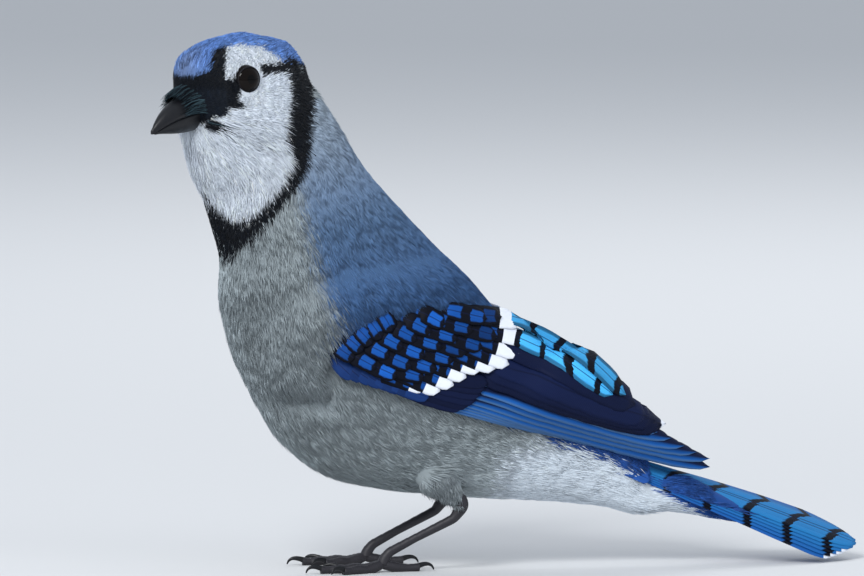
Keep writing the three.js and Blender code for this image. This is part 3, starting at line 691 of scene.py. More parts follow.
def blade_faces(stations, total):
    """Faces of many blades, each with three points at every station and one at its tip."""
    corners = 3 * stations + 1
    faces = [[2, 1, 0, -1]]
    for ring in range(0, corners - 4, 3):
        for k in range(3):
            faces.append([ring + k, ring + (k + 1) % 3, ring + 3 + (k + 1) % 3, ring + 3 + k])
    for k in range(3):
        faces.append([corners - 4 + k, corners - 4 + (k + 1) % 3, corners - 1, -1])
    faces = np.array(faces)
    base = np.arange(total)[:, None, None] * corners
    return np.where(faces[None] >= 0, faces[None] + base, -1).reshape(-1, 4)


def tufts(name, pick, seed):
    """A piece of the coat from the picked roots, each a bunch of tapered three-sided blades."""
    rng = np.random.default_rng(seed)
    names = root_region[pick]
    length, half, lift, blades, _, spread, speckle = (
        np.array([COAT[region][k] for region in names]) for k in range(7)
    )
    blades = blades.astype(int)
    owner = np.repeat(np.arange(len(names)), blades)
    total = len(owner)
    order = np.arange(total) - np.searchsorted(owner, owner)
    fan = 2 * order / (blades[owner] - 1) - 1
    normal = root_normals[pick][owner]
    way = flow[pick][owner]
    side = np.cross(normal, way)
    tuft_turn = rng.normal(0, 1, len(names))[owner] * spread[owner] * 0.8
    angle = tuft_turn + fan * spread[owner] * 1.3 + rng.normal(0, 0.35, total) * spread[owner]
    bend = rng.normal(0, 0.6, total) * spread[owner]
    size = length[owner] * (1 - 0.16 * fan**2) * rng.uniform(0.82, 1.12, total)
    heading = way * np.cos(angle)[:, None] + side * np.sin(angle)[:, None]
    sideways = np.cross(normal, heading)
    start = roots[pick][owner] + side * (fan * half[owner] * 3.2)[:, None]
    start = start + way * (rng.uniform(-0.12, 0.12, total) * length[owner])[:, None] - normal * 0.35
    rise = lift[owner] * rng.uniform(0.8, 1.2, len(names))[owner] * rng.uniform(0.8, 1.2, total)
    width = half[owner] * rng.uniform(0.8, 1.2, total)
    bends = np.isin(names, ["face", "cheek", "crown", "throat", "necklace"])
    curve = 1 / (2 * np.where(bends, 45.0, 110.0))[owner]
    points = []
    middles = []
    stations = CURVED if names[0] in ("crown", "cheek", "throat", "vent") else STRAIGHT
    for t, wide in stations:
        reach = (size * t)[:, None]
        up = size * rise * t * (1 - 0.5 * t) - curve * (size * t) ** 2
        drift = (size * bend * t * t * 0.5)[:, None]
        middle = start + heading * reach + normal * up[:, None] + sideways * drift
        edge = sideways * (width * wide)[:, None]
        points += [middle - edge, middle + normal * (width * wide * 0.6)[:, None], middle + edge]
        middles.append(middle)
    up = size * rise * 0.5 - curve * size**2
    drift = (size * bend * 0.5)[:, None]
    points.append(start + heading * size[:, None] + normal * up[:, None] + sideways * drift)
    middles.append(points[-1])
    points = np.stack(points, 1)
    corners_each = points.shape[1]
    piece = mesh_from(name, points.reshape(-1, 3), blade_faces(len(stations), total))
    tone = 1 + rng.normal(0, 1, total) * speckle[owner] * 0.8
    tone = tone + (rng.normal(0, 1, len(names)) * speckle)[owner]
    blur = np.interp(root_u[pick], [4, 6, 9, 14, 16], [0.5, 0.7, 1.8, 1.6, 1.0])[owner][:, None]
    shift = rng.normal(0, 1, (total, 3)) * blur
    colour = np.stack([markings(middle + shift)[0] for middle in middles], 1)
    colour[np.isin(names, ["thigh"])[owner]] = THIGH
    colour = np.clip(colour * tone[:, None, None], 0.002, 0.9)
    at = np.array([t for t, _ in stations] + [1.0])
    # Painted shade: each blade is darker at its root, where the feathers over it shade it, and painted light
    # makes its tip a little brighter.
    shade = np.interp(at, [0, 0.42, 1.0], [0.72, 0.93, 1.05])
    colours = np.repeat(colour * shade[None, :, None], [3] * len(stations) + [1], axis=1)
    layer = piece.data.attributes.new("plume", "FLOAT_COLOR", "POINT")
    rgba = np.concatenate([np.clip(colours, 0, 0.92), np.ones((total, corners_each, 1))], 2)
    layer.data.foreach_set("color", rgba.astype(np.float32).ravel())
    place = patch_place(root_u, root_q, root_s)[pick][owner]
    order = order / 8.0
    local_x = np.array([0, 0.5, 1] * len(stations) + [0.5]) / 8.0
    local_y = np.repeat(at, [3] * len(stations) + [1])
    uv_x = place[:, :1] + PATCH_SIZE * (order[:, None] + local_x - 0.5)
    uv_y = place[:, 1:] + PATCH_SIZE * (local_y - 0.5)
    uv = np.stack([uv_x + 0 * uv_y, uv_y + 0 * uv_x], 2).reshape(-1, 2)
    corners = array_of(piece.data.loops, "vertex_index", 1).astype(int)
    piece.data.uv_layers.new(name="OFBake").data.foreach_set("uv", uv[corners].astype(np.float32).ravel())
    piece.data.materials.append(plumage.material)
    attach(piece, "root")


LIMIT = 190000
BLADE_TRIANGLES = 16
for region in COAT:
    members = np.flatnonzero(root_region == region)
    heavy = len(members) * COAT[region][3] * BLADE_TRIANGLES
    shares = max(1, math.ceil(heavy / LIMIT))
    members = members[np.argsort(root_s[members])]
    for number, chunk in enumerate(np.array_split(members, shares)):
        if len(chunk):
            tufts(f"coat_{region}_{number + 1}", chunk, 11 + number)

# Folded wings.
# Tiers of stiff vanes lie over one another from the shoulder back: small coverts, barred coverts with white
# tips, broad tertials of which the upper ones are barred, then the secondaries and the long narrow primaries.

# The surface that they lie on: the trunk's sections and six more, whose rows were made as BODY's were.
DRAPE = np.concatenate([BODY[:14], np.array([
    [30.0, 0, 49.4, 32.7, 38.4, 23.0, 0],
    [46.8, 0, 48.0, 34.6, 29.4, 19.0, 0],
    [60.6, 0, 45.2, 32.7, 20.8, 14.5, 0],
    [73.7, 0, 40.5, 29.7, 13.5, 10.0, 0],
    [87.2, 0, 35.3, 24.4, 9.2, 6.5, 0],
    [102.6, 0, 29.4, 16.1, 5.6, 4.2, 0],
])])


def drape_out(x, z):
    """How far out from the middle the folded wing lies at places in side view."""
    flat = np.column_stack([x.ravel(), np.zeros(x.size), z.ravel()])
    u, q, _ = locate(DRAPE, flat)
    reach = np.minimum(abs(q), 0.985)
    return (Sections(DRAPE, u).wide * (1 - reach**EXPONENT) ** (1 / EXPONENT)).reshape(x.shape)


def drape(x, z, lift):
    """Points on the left wing at places in side view, lifted off the surface."""
    step = 0.8
    out = drape_out(x, z)
    slope_x = (drape_out(x + step, z) - drape_out(x - step, z)) / (2 * step)
    slope_z = (drape_out(x, z + step) - drape_out(x, z - step)) / (2 * step)
    normal = np.stack([-slope_x, -np.ones_like(x), -slope_z], -1)
    normal /= np.linalg.norm(normal, axis=-1)[..., None]
    return np.stack([x, -out, z], -1) + normal * lift[..., None], normal


# The stiff feathers have a dark shaft, fine slanted barbs, and bars or a white tip where stated.
flight = Finish("flight_feather", Roughness=0.5, Specular_IOR_Level=0.09)
tone = flight.node("ShaderNodeAttribute", {"attribute_name": "tone"})
dark = flight.node("ShaderNodeAttribute", {"attribute_name": "dark"})
vane_uv = flight.node("ShaderNodeUVMap", {"uv_map": "Vane"})
across = flight.node("ShaderNodeSeparateXYZ", sockets={0: vane_uv}, output="X")
along = flight.node("ShaderNodeSeparateXYZ", sockets={0: vane_uv}, output="Y")
bars = flight.node("ShaderNodeAttribute", {"attribute_name": "bars"}, output="Fac")
gap = flight.node("ShaderNodeAttribute", {"attribute_name": "gap"}, output="Fac")
rim = flight.node("ShaderNodeAttribute", {"attribute_name": "rim"}, output="Fac")
white_tip = flight.node("ShaderNodeAttribute", {"attribute_name": "white"}, output="Fac")
from_shaft = (across - 0.5).math("ABSOLUTE") * 2.0
wobble = flight.node("ShaderNodeTexNoise", sockets={"Vector": vane_uv, "Scale": 9.0, "Detail": 2.0})
wave = (bars - from_shaft * 0.09 + (wobble - 0.5) * 0.12).math("FRACT")
barred = gap.step(0.02, 0.06)
bar_mask = barred * (wave + gap).step(0.97, 1.03)
edge_mask = barred * rim * (from_shaft + (wobble - 0.5) * 0.2).step(0.52, 0.72)
barb_lines = ((along * 60.0 - from_shaft * 7.0) * 6.28).math("SINE")
shaft_mask = 1.0 - from_shaft.step(0.03, 0.08)
near_edge = 1.0 - across.step(0.04, 0.22)
streak_place = flight.node("ShaderNodeCombineXYZ", sockets={"X": across * 38.0, "Y": along * 2.0})
streak = flight.node("ShaderNodeTexNoise", sockets={"Vector": streak_place, "Scale": 1.0, "Detail": 3.0})
base_colour = flight.mix(streak.step(0.42, 0.75) * 0.22, tone, dark)
base_colour = flight.mix((1.0 - barred) * rim * across.step(0.20, 0.5), base_colour, dark)
base_colour = flight.mix((1.0 - barred) * rim * near_edge * 0.55, base_colour, (0.10, 0.19, 0.30, 1))
base_colour = flight.mix(bar_mask.math("MAXIMUM", edge_mask), base_colour, (0.003, 0.004, 0.009, 1))
base_colour = flight.mix(shaft_mask * 0.7, base_colour, dark)
base_colour = flight.mix(white_tip.step(0.45, 0.55), base_colour, (0.76, 0.80, 0.88, 1))
flight.wear("Base Color", base_colour)
height = barb_lines * 0.5 + streak * 0.8
barb_bump = flight.node("ShaderNodeBump", sockets={"Strength": 0.25, "Distance": 0.0002, "Height": height})
flight.wear("Normal", barb_bump)


class Vanes:
    """Stiff feathers gathered into one mesh, each a thin closed blade with its own colours."""

    def __init__(self):
        self.points = []
        self.faces = []
        self.uv = []
        self.values = {"tone": [], "dark": [], "bars": [], "white": [], "gap": [], "rim": []}
        self.count = 0

    def add(self, grid, normal, thick, tone, dark, bars, white, gap=0.0, rim=0.0):
        """One feather from a grid of places, its normals and thickness, its colours, bars and white tip."""
        rows, columns = grid.shape[:2]
        edge = np.minimum(np.linspace(0, 1, columns), np.linspace(1, 0, columns)) * 2
        half = thick * (0.25 + 0.75 * np.minimum(edge * 2, 1))[None, :, None] / 2
        top = grid + normal * half
        under = grid - normal * half
        index = np.arange(rows * columns).reshape(rows, columns)
        a, b, c, d = index[:-1, :-1], index[:-1, 1:], index[1:, 1:], index[1:, :-1]
        upper = np.stack([a, b, c, d], -1).reshape(-1, 4)
        lower = upper[:, ::-1] + rows * columns
        border = np.concatenate([index[0, :], index[1:, -1], index[-1, -2::-1], index[-2:0:-1, 0]])
        following = np.roll(border, -1)
        wall = np.stack([following, border, border + rows * columns, following + rows * columns], -1)
        self.faces.append(np.concatenate([upper, lower, wall]) + self.count)
        self.points.append(np.concatenate([top.reshape(-1, 3), under.reshape(-1, 3)]))
        v, u = np.meshgrid(np.linspace(0, 1, rows), np.linspace(0, 1, columns), indexing="ij")
        self.uv.append(np.tile(np.stack([u.ravel(), v.ravel()], 1), (2, 1)))
        spots = 2 * rows * columns
        self.values["tone"].append(np.tile(np.append(tone, 1.0), (spots, 1)))
        self.values["dark"].append(np.tile(np.append(dark, 1.0), (spots, 1)))
        bars_over = bars if np.ndim(bars) == 2 else bars[:, None]
        self.values["bars"].append(np.tile(np.broadcast_to(bars_over, v.shape).ravel(), 2))
        self.values["white"].append(np.tile(np.broadcast_to(white[:, None], v.shape).ravel(), 2))
        self.values["gap"].append(np.full(spots, gap))
        self.values["rim"].append(np.full(spots, rim))
        self.count += spots

    def piece(self, name, mirror=False):
        """The gathered feathers as one piece, or its mirror image across the bird's middle."""
        points = np.concatenate(self.points)
        faces = np.concatenate(self.faces)
        if mirror:
            points = points * np.array([1, -1, 1])
            faces = faces[:, ::-1]
        made = mesh_from(name, points, faces)
        uv = np.concatenate(self.uv)
        corners = array_of(made.data.loops, "vertex_index", 1).astype(int)
        made.data.uv_layers.new(name="Vane").data.foreach_set("uv", uv[corners].astype(np.float32).ravel())
        for key in self.values:
            kind = "FLOAT_COLOR" if key in ("tone", "dark") else "FLOAT"
            values = np.concatenate(self.values[key]).astype(np.float32)
            layer = made.data.attributes.new(key, kind, "POINT")
            layer.data.foreach_set("color" if kind == "FLOAT_COLOR" else "value", values.ravel())
        made.data.materials.append(flight.material)
        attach(made, "root")
        return made


def vane_width(t, kind):
    """Half-width along a feather as part of its full half-width."""
    if kind == "long":
        keys = ([0, 0.08, 0.3, 0.7, 0.86, 0.95, 0.985, 1.0], [0.25, 0.6, 0.9, 1.0, 0.88, 0.6, 0.32, 0.05])
    elif kind == "broad":
        keys = ([0, 0.08, 0.3, 0.7, 0.9, 0.96, 0.99, 1.0], [0.3, 0.7, 0.95, 1.0, 0.9, 0.7, 0.42, 0.1])
    else:
        keys = ([0, 0.15, 0.5, 0.78, 0.9, 0.96, 0.99, 1.0], [0.35, 0.75, 1.0, 1.0, 0.85, 0.62, 0.36, 0.08])
    return np.interp(t, *keys)


DEEP = np.array([0.008, 0.030, 0.125])
PATCH = np.array([0.009, 0.095, 0.42])
CYAN = np.array([0.060, 0.42, 0.84])
STREAM = np.array([0.008, 0.085, 0.33])
NAVY = np.array([0.004, 0.008, 0.034])


def wing_feather(vanes, root, tip, half, lift, tilt, tone, dark, period=0.0, phase=0.0,
                 gap=0.0, rim=0.0, white=0.0, bow=0.0, kind="short"):
    """One vane of the left wing between two places in side view; bars are spaced back from its tip."""
    length = np.linalg.norm(tip - root)
    rows, columns = (26, 9) if kind == "long" else (16, 9)
    t = np.linspace(0, 1, rows) ** 0.8
    side = np.array([-(tip - root)[1], (tip - root)[0]]) / length
    middle = root + (tip - root) * t[:, None] + side * (bow * 4 * t * (1 - t))[:, None]
    width = half * vane_width(t, kind) * (1 + 0.02 * rng.normal(0, 1, rows))
    share = np.linspace(-1, 1, columns)
    place = middle[:, None] + side * (width[:, None] * share)[..., None]
    high = (-0.9 + (lift + 0.9) * np.minimum(1, t * length / 7))[:, None] - tilt * share
    high = high + 0.2 * (1 - share**2) * half / 3
    grid, normal = drape(place[..., 0], place[..., 1], high)
    bars = (t - 1) * length / period + 40 + phase if period else np.zeros(rows)
    tip_white = np.clip((t * length - (length - white)) / 1.2 + 0.5, 0, 1) if white else np.zeros(rows)
    bars = bars + rng.normal(0, 0.05)
    vanes.add(grid, normal, 0.16, tone * rng.uniform(0.75, 1.2), dark, bars, tip_white, gap, rim)


def along_line(line, t):
    """The place at a share t of the way along a line through a few points."""
    line = np.asarray(line, float)
    far = np.concatenate([[0], np.cumsum(np.linalg.norm(np.diff(line, axis=0), axis=1))])
    return np.array([np.interp(t * far[-1], far, line[:, k]) for k in range(2)])


def wing_tier(vanes, count, roots, tips, half, lift, tilt, tone, dark, climb=0.04,
              tone_b=None, white_b=None, **more):
    """A row of wing feathers whose roots and tips are spread along two lines in side view."""
    white_a = more.pop("white", 0.0)
    for i in range(count):
        t = i / (count - 1) if count > 1 else 0.0
        root = along_line(roots, t) + rng.normal(0, 0.15, 2)
        tip = along_line(tips, t) + rng.normal(0, 0.2, 2)
        colour = tone if tone_b is None else tone + (tone_b - tone) * t
        white = white_a if white_b is None else white_a + (white_b - white_a) * t
        wing_feather(vanes, root, tip, half, lift + climb * i, tilt, colour, dark, white=white, **more)


# Each tier's count, the lines of its roots and of its tips, half-width, lift, tilt and colours.
flights = Vanes()
wing_tier(flights, 9, [(2, 57.5), (12, 58.5), (17, 62), (20, 67)],
          [(88, 37.6), (99, 33), (105, 30.9), (103.5, 33), (100, 35.6), (95, 37.5), (90, 40.5), (84, 43.8)],
          2.9, 0.3, 0.32, STREAM, NAVY, climb=0.13, kind="long", rim=1.0)
wing_tier(flights, 3, [(19, 66), (22, 70)], [(85.5, 45.4), (80, 48.5)], 4.8, 1.6, 0.4,
          NAVY, NAVY * 0.7, climb=0.2, kind="broad", tone_b=NAVY * 1.3)
wing_tier(flights, 1, [(19, 66)], [(87, 45.2)], 4.4, 1.5, 0.4, NAVY, NAVY, kind="broad", white=1.6)
wing_tier(flights, 1, [(24, 77)], [(75, 53)], 5.0, 2.1, 0.4, NAVY * 1.2, NAVY * 0.7, kind="broad", bow=1.0)
wing_tier(flights, 1, [(26, 79)], [(67, 57)], 3.1, 2.45, 0.25, CYAN, NAVY, kind="broad", bow=1.6, period=10.4,
          phase=0.55, gap=0.24, rim=0.7)
wing_tier(flights, 1, [(28, 83.5)], [(71, 56)], 3.1, 2.8, 0.3, CYAN, NAVY, kind="broad", bow=3.6, period=11.0,
          phase=0.30, gap=0.24, rim=0.7)
coverts = Vanes()
wing_tier(coverts, 6, [(-8, 62), (2, 66)], [(15, 54.6), (20, 57.0), (24, 62.5)], 2.6, 1.4, 0.25, NAVY, NAVY)
wing_tier(coverts, 10, [(-18, 69), (-10, 76), (2, 82), (12, 86)],
          [(2.5, 61.6), (6.5, 60.4), (14.4, 63.6), (20.7, 66.8),
           (28.2, 66.8), (33.8, 69.3), (37.1, 74.6), (36.6, 80)],
          3.2, 1.9, 0.35, PATCH * 0.7, NAVY, period=7.2, phase=0.0, gap=0.40, rim=1.0, kind="broad",
          white=5.0, white_b=8.0)
wing_tier(coverts, 9, [(-29, 73), (-10, 64)], [(-21, 65.6), (4, 58.6)], 2.5, 1.7, 0.2, DEEP, NAVY)
wing_tier(coverts, 7, [(-16, 71), (-8, 79), (10, 86)],
          [(1.5, 65.3), (7, 68.2), (14.6, 72.2), (22, 73.6), (27.4, 77.2), (29, 82)],
          3.1, 2.4, 0.35, PATCH * 0.8, NAVY, tone_b=PATCH * 0.35, period=8.2, phase=0.86, gap=0.46, rim=1.0)
wing_tier(coverts, 7, [(-22, 73), (-14, 80), (4, 88)],
          [(-7, 66.4), (-1, 70.3), (6, 74.2), (15, 77.6), (23, 82.5)],
          3.0, 2.8, 0.35, PATCH, NAVY, tone_b=PATCH * 0.7, period=8.0, phase=0.84, gap=0.44, rim=1.0)
wing_tier(coverts, 6, [(-26, 76), (-18, 82), (-4, 89)], [(-14, 69.2), (-9, 73.4), (-1, 77.6), (9, 82)],
          2.9, 3.1, 0.3, PATCH * 0.8, NAVY, tone_b=PATCH, period=8.0, phase=0.84, gap=0.44, rim=1.0)
wing_tier(coverts, 5, [(-30, 78), (-24, 84), (-14, 90)], [(-21, 72), (-17, 76), (-9, 80.5)],
          2.8, 3.3, 0.3, PATCH * 0.5, NAVY, tone_b=PATCH * 0.8, period=8.0, phase=0.84, gap=0.48, rim=1.0)
for name, side in (("left", False), ("right", True)):
    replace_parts(flights.piece(f"flight_feathers_{name}", side), f"wing_{name}")
    coverts.piece(f"wing_coverts_{name}", side)

# Tail.
# Twelve long feathers lie stacked under the middle pair, each blue with thin black bars, and
# the outer ones end in white.
TAIL_ROOT = np.array([66, 0, 38.2])
TAIL_TIP = np.array([153.5, 0, 5.4])
TAIL_ROLL = math.radians(24)
TAIL_LENGTH = 82.5
TAIL_BAR = 14.5
tail_way = one(TAIL_TIP - TAIL_ROOT)
tail_across = np.array([0, math.cos(TAIL_ROLL), math.sin(TAIL_ROLL)])
tail_across = one(tail_across - tail_way * (tail_across @ tail_way))
tail_up = np.cross(tail_way, tail_across)
tail_up = tail_up * np.sign(tail_up[2])


def tail_point(along, across, up):
    """Places along, across and above the tail from its root."""
    along, across, up = np.broadcast_arrays(along, across, up)
    return TAIL_ROOT + along[..., None] * tail_way + across[..., None] * tail_across + up[..., None] * tail_up


rectrices = Vanes()
TAIL_BLUE = np.array([0.020, 0.19, 0.46])
TAIL_END = np.array([0.012, 0.10, 0.36])
for index in range(12):
    place = (index - 5.5) / 5.5
    far = abs(place)
    length = TAIL_LENGTH - 9 * far**1.5
    half = 6.4 - 1.1 * far
    t = np.linspace(0, 1, 34) ** 0.9
    width = half * np.interp(t, [0, 0.3, 0.7, 0.9, 0.96, 0.99, 1], [0.5, 0.85, 1, 0.97, 0.7, 0.4, 0.1])
    share = np.linspace(-1, 1, 9)
    middle = place * (3.2 + 9.0 * t**0.9)
    across_at = middle[:, None] + width[:, None] * share
    up = -2.3 * far + 0.5 * np.sin(np.pi * t)[:, None] + 0.45 * (1 - share**2) - 0.004 * middle[:, None] ** 2
    grid = tail_point(11 + length * t[:, None], across_at, up)
    normal = np.broadcast_to(tail_up, grid.shape)
    tone = TAIL_BLUE + (TAIL_END - TAIL_BLUE) * far
    bars = (t[:, None] * length - 1.6 - 0.75 * width[:, None] * share) / TAIL_BAR + 0.9
    tip = np.clip((t * length - (length - 2.5)) / 1.5 + 0.5, 0, 1) * (far > 0.3)
    rectrices.add(grid, normal, 0.2, tone, NAVY, bars, tip, gap=0.2, rim=0.0)
for row, (start, end, count) in enumerate(((-7, 7, 6), (-12, 2, 6))):
    for i in range(count):
        t = np.linspace(0, 1, 14)
        share = np.linspace(-1, 1, 7)
        sway = (i - 2.5) * 2.6
        across_at = sway * (1 + 0.2 * t[:, None]) + 2.4 * vane_width(t, "short")[:, None] * share
        up = (-1.6 + 2.6 * np.minimum(1, t * 2))[:, None] + row * 0.4 - 0.03 * across_at**2
        grid = tail_point(start + 12 + (end - start) * t[:, None], across_at, up)
        normal = np.broadcast_to(tail_up, grid.shape)
        tone = RUMP * rng.uniform(0.8, 1.3)
        rectrices.add(grid, normal, 0.18, tone, NAVY, np.zeros(14), np.zeros(14))
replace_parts(rectrices.piece("tail_feathers"), "tail")

# Bill.
# Black horn in two halves that meet along the mouth, thick at the base and turned down a little at the tip.
BILL_START = 14.2
BILL_HEIGHT = 154.4
BILL_DROP = math.radians(13.2)
# Distance from the corner of the mouth, ridge, edge of the mouth, keel, half-width.
BILL = np.array([
    [-3, 6.6, 0.2, -5.0, 5.4],
    [3, 7.0, 0.5, -5.5, 5.5],
    [9, 7.4, 1.1, -5.4, 5.2],
    [15, 7.3, 1.3, -4.9, 4.5],
    [20, 6.0, 0.9, -3.9, 3.5],
    [24, 4.2, 0.2, -2.7, 2.5],
    [27, 2.2, -0.6, -1.9, 1.5],
    [28.8, 0.7, -1.2, -1.55, 0.8],
    [29.5, -0.4, -1.5, -1.6, 0.25],
])


def bill_place(s, out, up):
    """Places along, out from and above the line of the mouth."""
    s, out, up = np.broadcast_arrays(s, out, up)
    ahead = BILL_START + s * math.cos(BILL_DROP) + up * math.sin(BILL_DROP)
    return head_place(ahead, out, BILL_HEIGHT - s * math.sin(BILL_DROP) + up * math.cos(BILL_DROP))


horn = Finish("horn", Base_Color=(0.0035, 0.004, 0.006, 1), Specular_IOR_Level=0.38)
horn_place = horn.node("ShaderNodeTexCoord", output="Object")
horn_noise = horn.node("ShaderNodeTexNoise", sockets={"Vector": horn_place, "Scale": 900.0, "Detail": 4.0})
horn_bump = horn.node("ShaderNodeBump", sockets={"Strength": 0.12, "Distance": 0.0001, "Height": horn_noise})
horn.wear("Roughness", horn_noise * 0.35 + 0.2)
horn.wear("Normal", horn_bump)
s_at = np.linspace(-3, 29.5, 48)
profile = np.stack([np.interp(s_at, BILL[:, 0], BILL[:, k]) for k in range(1, 5)], 1)
for k in range(4):
    profile[:, k] = np.convolve(np.pad(profile[:, k], 2, mode="edge"), np.ones(5) / 5, "valid")
arc = np.linspace(0, np.pi, 21)
for name, upper in (("upper", True), ("lower", False)):
    rings = []
    for s, (ridge, edge, keel, wide) in zip(s_at, profile):
        if not upper and s > 28.2:
            continue
        base = edge + (0.12 if upper else -0.12)
        rise = (ridge if upper else keel) - base
        spread = wide if upper else wide * 0.92
        fullness = 0.8 if upper else 1.0
        rings.append(bill_place(s, spread * np.cos(arc), base + rise * np.sin(arc) ** fullness))
    piece = facing_out(mesh_from(f"bill_half_{name}", *tube(rings)))
    piece.data.materials.append(horn.material)
    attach(piece, "root")
    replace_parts(piece, f"bill_{name}")

# Bristles at the bill.
# Stiff hair-like feathers lie forward over the nostrils from the face and others sweep back from the gape,
# black with a few grey-blue ones among them.
NOSTRIL_BRISTLES = 1500
GAPE_BRISTLES = 420


def bristles(name, root_at, tip_at, width, seed, lift):
    """Curved tapered strands from root places to tip places about the head, joined in one piece."""
    rng = np.random.default_rng(seed)
    total = len(root_at)
    t_at = np.array([0, 0.2, 0.45, 0.7, 0.88])
    way = unit(tip_at - root_at)
    out = unit(np.cross(np.cross(way, lift), way))
    side = np.cross(way, out)
    length = np.linalg.norm(tip_at - root_at, axis=1)
    arch = rng.uniform(0.06, 0.16, total) * length
    sway = rng.normal(0, 0.05, total) * length
    points = []
    for t in t_at:
        middle = root_at + (tip_at - root_at) * t + out * (arch * 4 * t * (1 - t))[:, None]
        middle = middle + side * (sway * t * t)[:, None]
        thin = width * (1 - 0.75 * t)
        for angle in (0, 2.1, 4.2):
            points.append(middle + out * thin * math.cos(angle) + side * thin * math.sin(angle))
    points.append(tip_at + side * sway[:, None])
    points = np.stack(points, 1)
    piece = facing_out(mesh_from(name, points.reshape(-1, 3), blade_faces(len(t_at), total)))
    pale = rng.random(total) < 0.28
    dark = BLACK * rng.uniform(0.6, 2.0, total)[:, None]
    colour = np.where(pale[:, None], np.array([0.045, 0.085, 0.105]), dark)
    rgba = np.repeat(np.column_stack([colour, np.ones(total)]), points.shape[1], axis=0).astype(np.float32)
    piece.data.attributes.new("plume", "FLOAT_COLOR", "POINT").data.foreach_set("color", rgba.ravel())
    piece.data.materials.append(plumage.material)
    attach(piece, "root")


count = NOSTRIL_BRISTLES
turn_at = rng.uniform(-1.8, 1.8, count)
deep = rng.uniform(0, 1, count)
out_at = np.sin(turn_at)
up_at = np.cos(turn_at)
root_at = head_place(22.0 + 2.0 * up_at - 6.5 * deep, 8.0 * out_at, 153.5 + 8.2 * up_at)
reach = rng.uniform(4.0, 13.5, count) * (1 - 0.2 * abs(out_at))
tip_at = head_place(22.5 + reach, 6.4 * out_at * (1 - 0.02 * reach), 155.4 - 0.24 * reach + 5.6 * up_at)
bristles("nostril_bristles", root_at, tip_at, 0.15, 21, np.array([0, 0, 1.0]))
count = GAPE_BRISTLES
side_at = np.where(rng.random(count) < 0.5, -1, 1)
low = rng.uniform(0, 1, count)
root_at = head_place(rng.uniform(17, 25, count), side_at * (7.6 - 1.2 * low), 150.5 - 2.6 * low)
sweep = rng.uniform(0, 1, count) ** 1.4
tip_height = 149 - 4.5 * low - 3.5 * sweep + rng.normal(0, 0.7, count)
tip_at = head_place(16 - 11 * sweep, side_at * (11.5 + 3.6 * sweep), tip_height)
gape_lift = np.array([0, 0, -0.2]) + HEAD_LEFT * side_at[:, None]
bristles("gape_bristles", root_at, tip_at, 0.12, 22, gape_lift)

# Eyes.
# Dark brown, almost black balls with a wet surface, each in a thin ring of bare lid.
EYE_RADIUS = 4.8
LID_POINTS = 10
LID_RINGS = 64
wet = Finish("wet_eye", Roughness=0.04, Specular_IOR_Level=0.14)
polar = wet.node("ShaderNodeAttribute", {"attribute_name": "polar"}, output="Fac")
PUPIL = (0.0006, 0.0006, 0.0008, 1)
IRIS = (0.0035, 0.002, 0.0014, 1)
wet.wear("Base Color", wet.mix(polar.step(0.36, 0.40), PUPIL, IRIS))
lid_skin = Finish("lid_skin", Base_Color=(0.004, 0.004, 0.006, 1), Roughness=0.6, Specular_IOR_Level=0.2)
for name, side in (("left", 1), ("right", -1)):
    gaze = eye_gaze[side]
    centre = eye_centre[side]
    shape = bmesh.new()
    bmesh.ops.create_uvsphere(shape, u_segments=48, v_segments=32, radius=EYE_RADIUS * 0.001)
    turn = Vector((0, 0, 1)).rotation_difference(Vector(gaze))
    bmesh.ops.rotate(shape, verts=shape.verts, cent=(0, 0, 0), matrix=turn.to_matrix())
    bmesh.ops.translate(shape, verts=shape.verts, vec=Vector(metres(centre)))
    mesh = bpy.data.meshes.new(f"eye_{name}")
    shape.to_mesh(mesh)
    shape.free()
    mesh.shade_smooth()
    place = array_of(mesh.vertices, "co", 3) - metres(centre)
    ahead = place @ gaze
    rim_depth = EYE_RADIUS * 0.001 * math.cos(math.radians(63))
    flat = np.where(ahead > rim_depth, (rim_depth - ahead) * 0.3, 0.0)
    place = place + flat[:, None] * gaze
    mesh.vertices.foreach_set("co", (place + metres(centre)).astype(np.float32).ravel())
    mesh.update()
    angle = np.arccos(np.clip(unit(place) @ gaze, -1, 1))
    mesh.attributes.new("polar", "FLOAT", "POINT").data.foreach_set("value", angle.astype(np.float32))
    eye = bpy.data.objects.new(f"eyeball_{name}", mesh)
    bpy.context.scene.collection.objects.link(eye)
    mesh.materials.append(wet.material)
    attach(eye, "root")
    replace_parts(eye, f"eye_{name}")
    side_way = one(np.cross(np.array([0, 0, 1.0]), gaze))
    up_way = np.cross(gaze, side_way)
    rings = []
    for angle in np.linspace(0, 2 * np.pi, LID_RINGS + 1)[:-1]:
        opening = math.radians(62 - 4 * abs(math.sin(angle)) ** 2 * (1.3 if math.sin(angle) > 0 else 0.7))
        spoke = side_way * math.cos(angle) + up_way * math.sin(angle)
        hub = centre + (gaze * math.cos(opening) + spoke * math.sin(opening)) * EYE_RADIUS
        out = one(hub - centre)
        tangent = one(np.cross(out, np.cross(spoke, gaze)))
        turn_at = np.linspace(0, 2 * np.pi, LID_POINTS, endpoint=False)
        bead = 1 + 0.12 * math.sin(angle * 34)
        tall = out * (np.cos(turn_at) * 0.17 * bead)[:, None]
        rings.append(hub + tall + tangent * (np.sin(turn_at) * 0.30 * bead)[:, None])
    points, faces = tube(rings + [rings[0]])
    faces = faces[: LID_RINGS * LID_POINTS]
    lid = facing_out(mesh_from(f"eyelids_{name}", points, faces))
    lid.data.materials.append(lid_skin.material)
    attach(lid, "root")

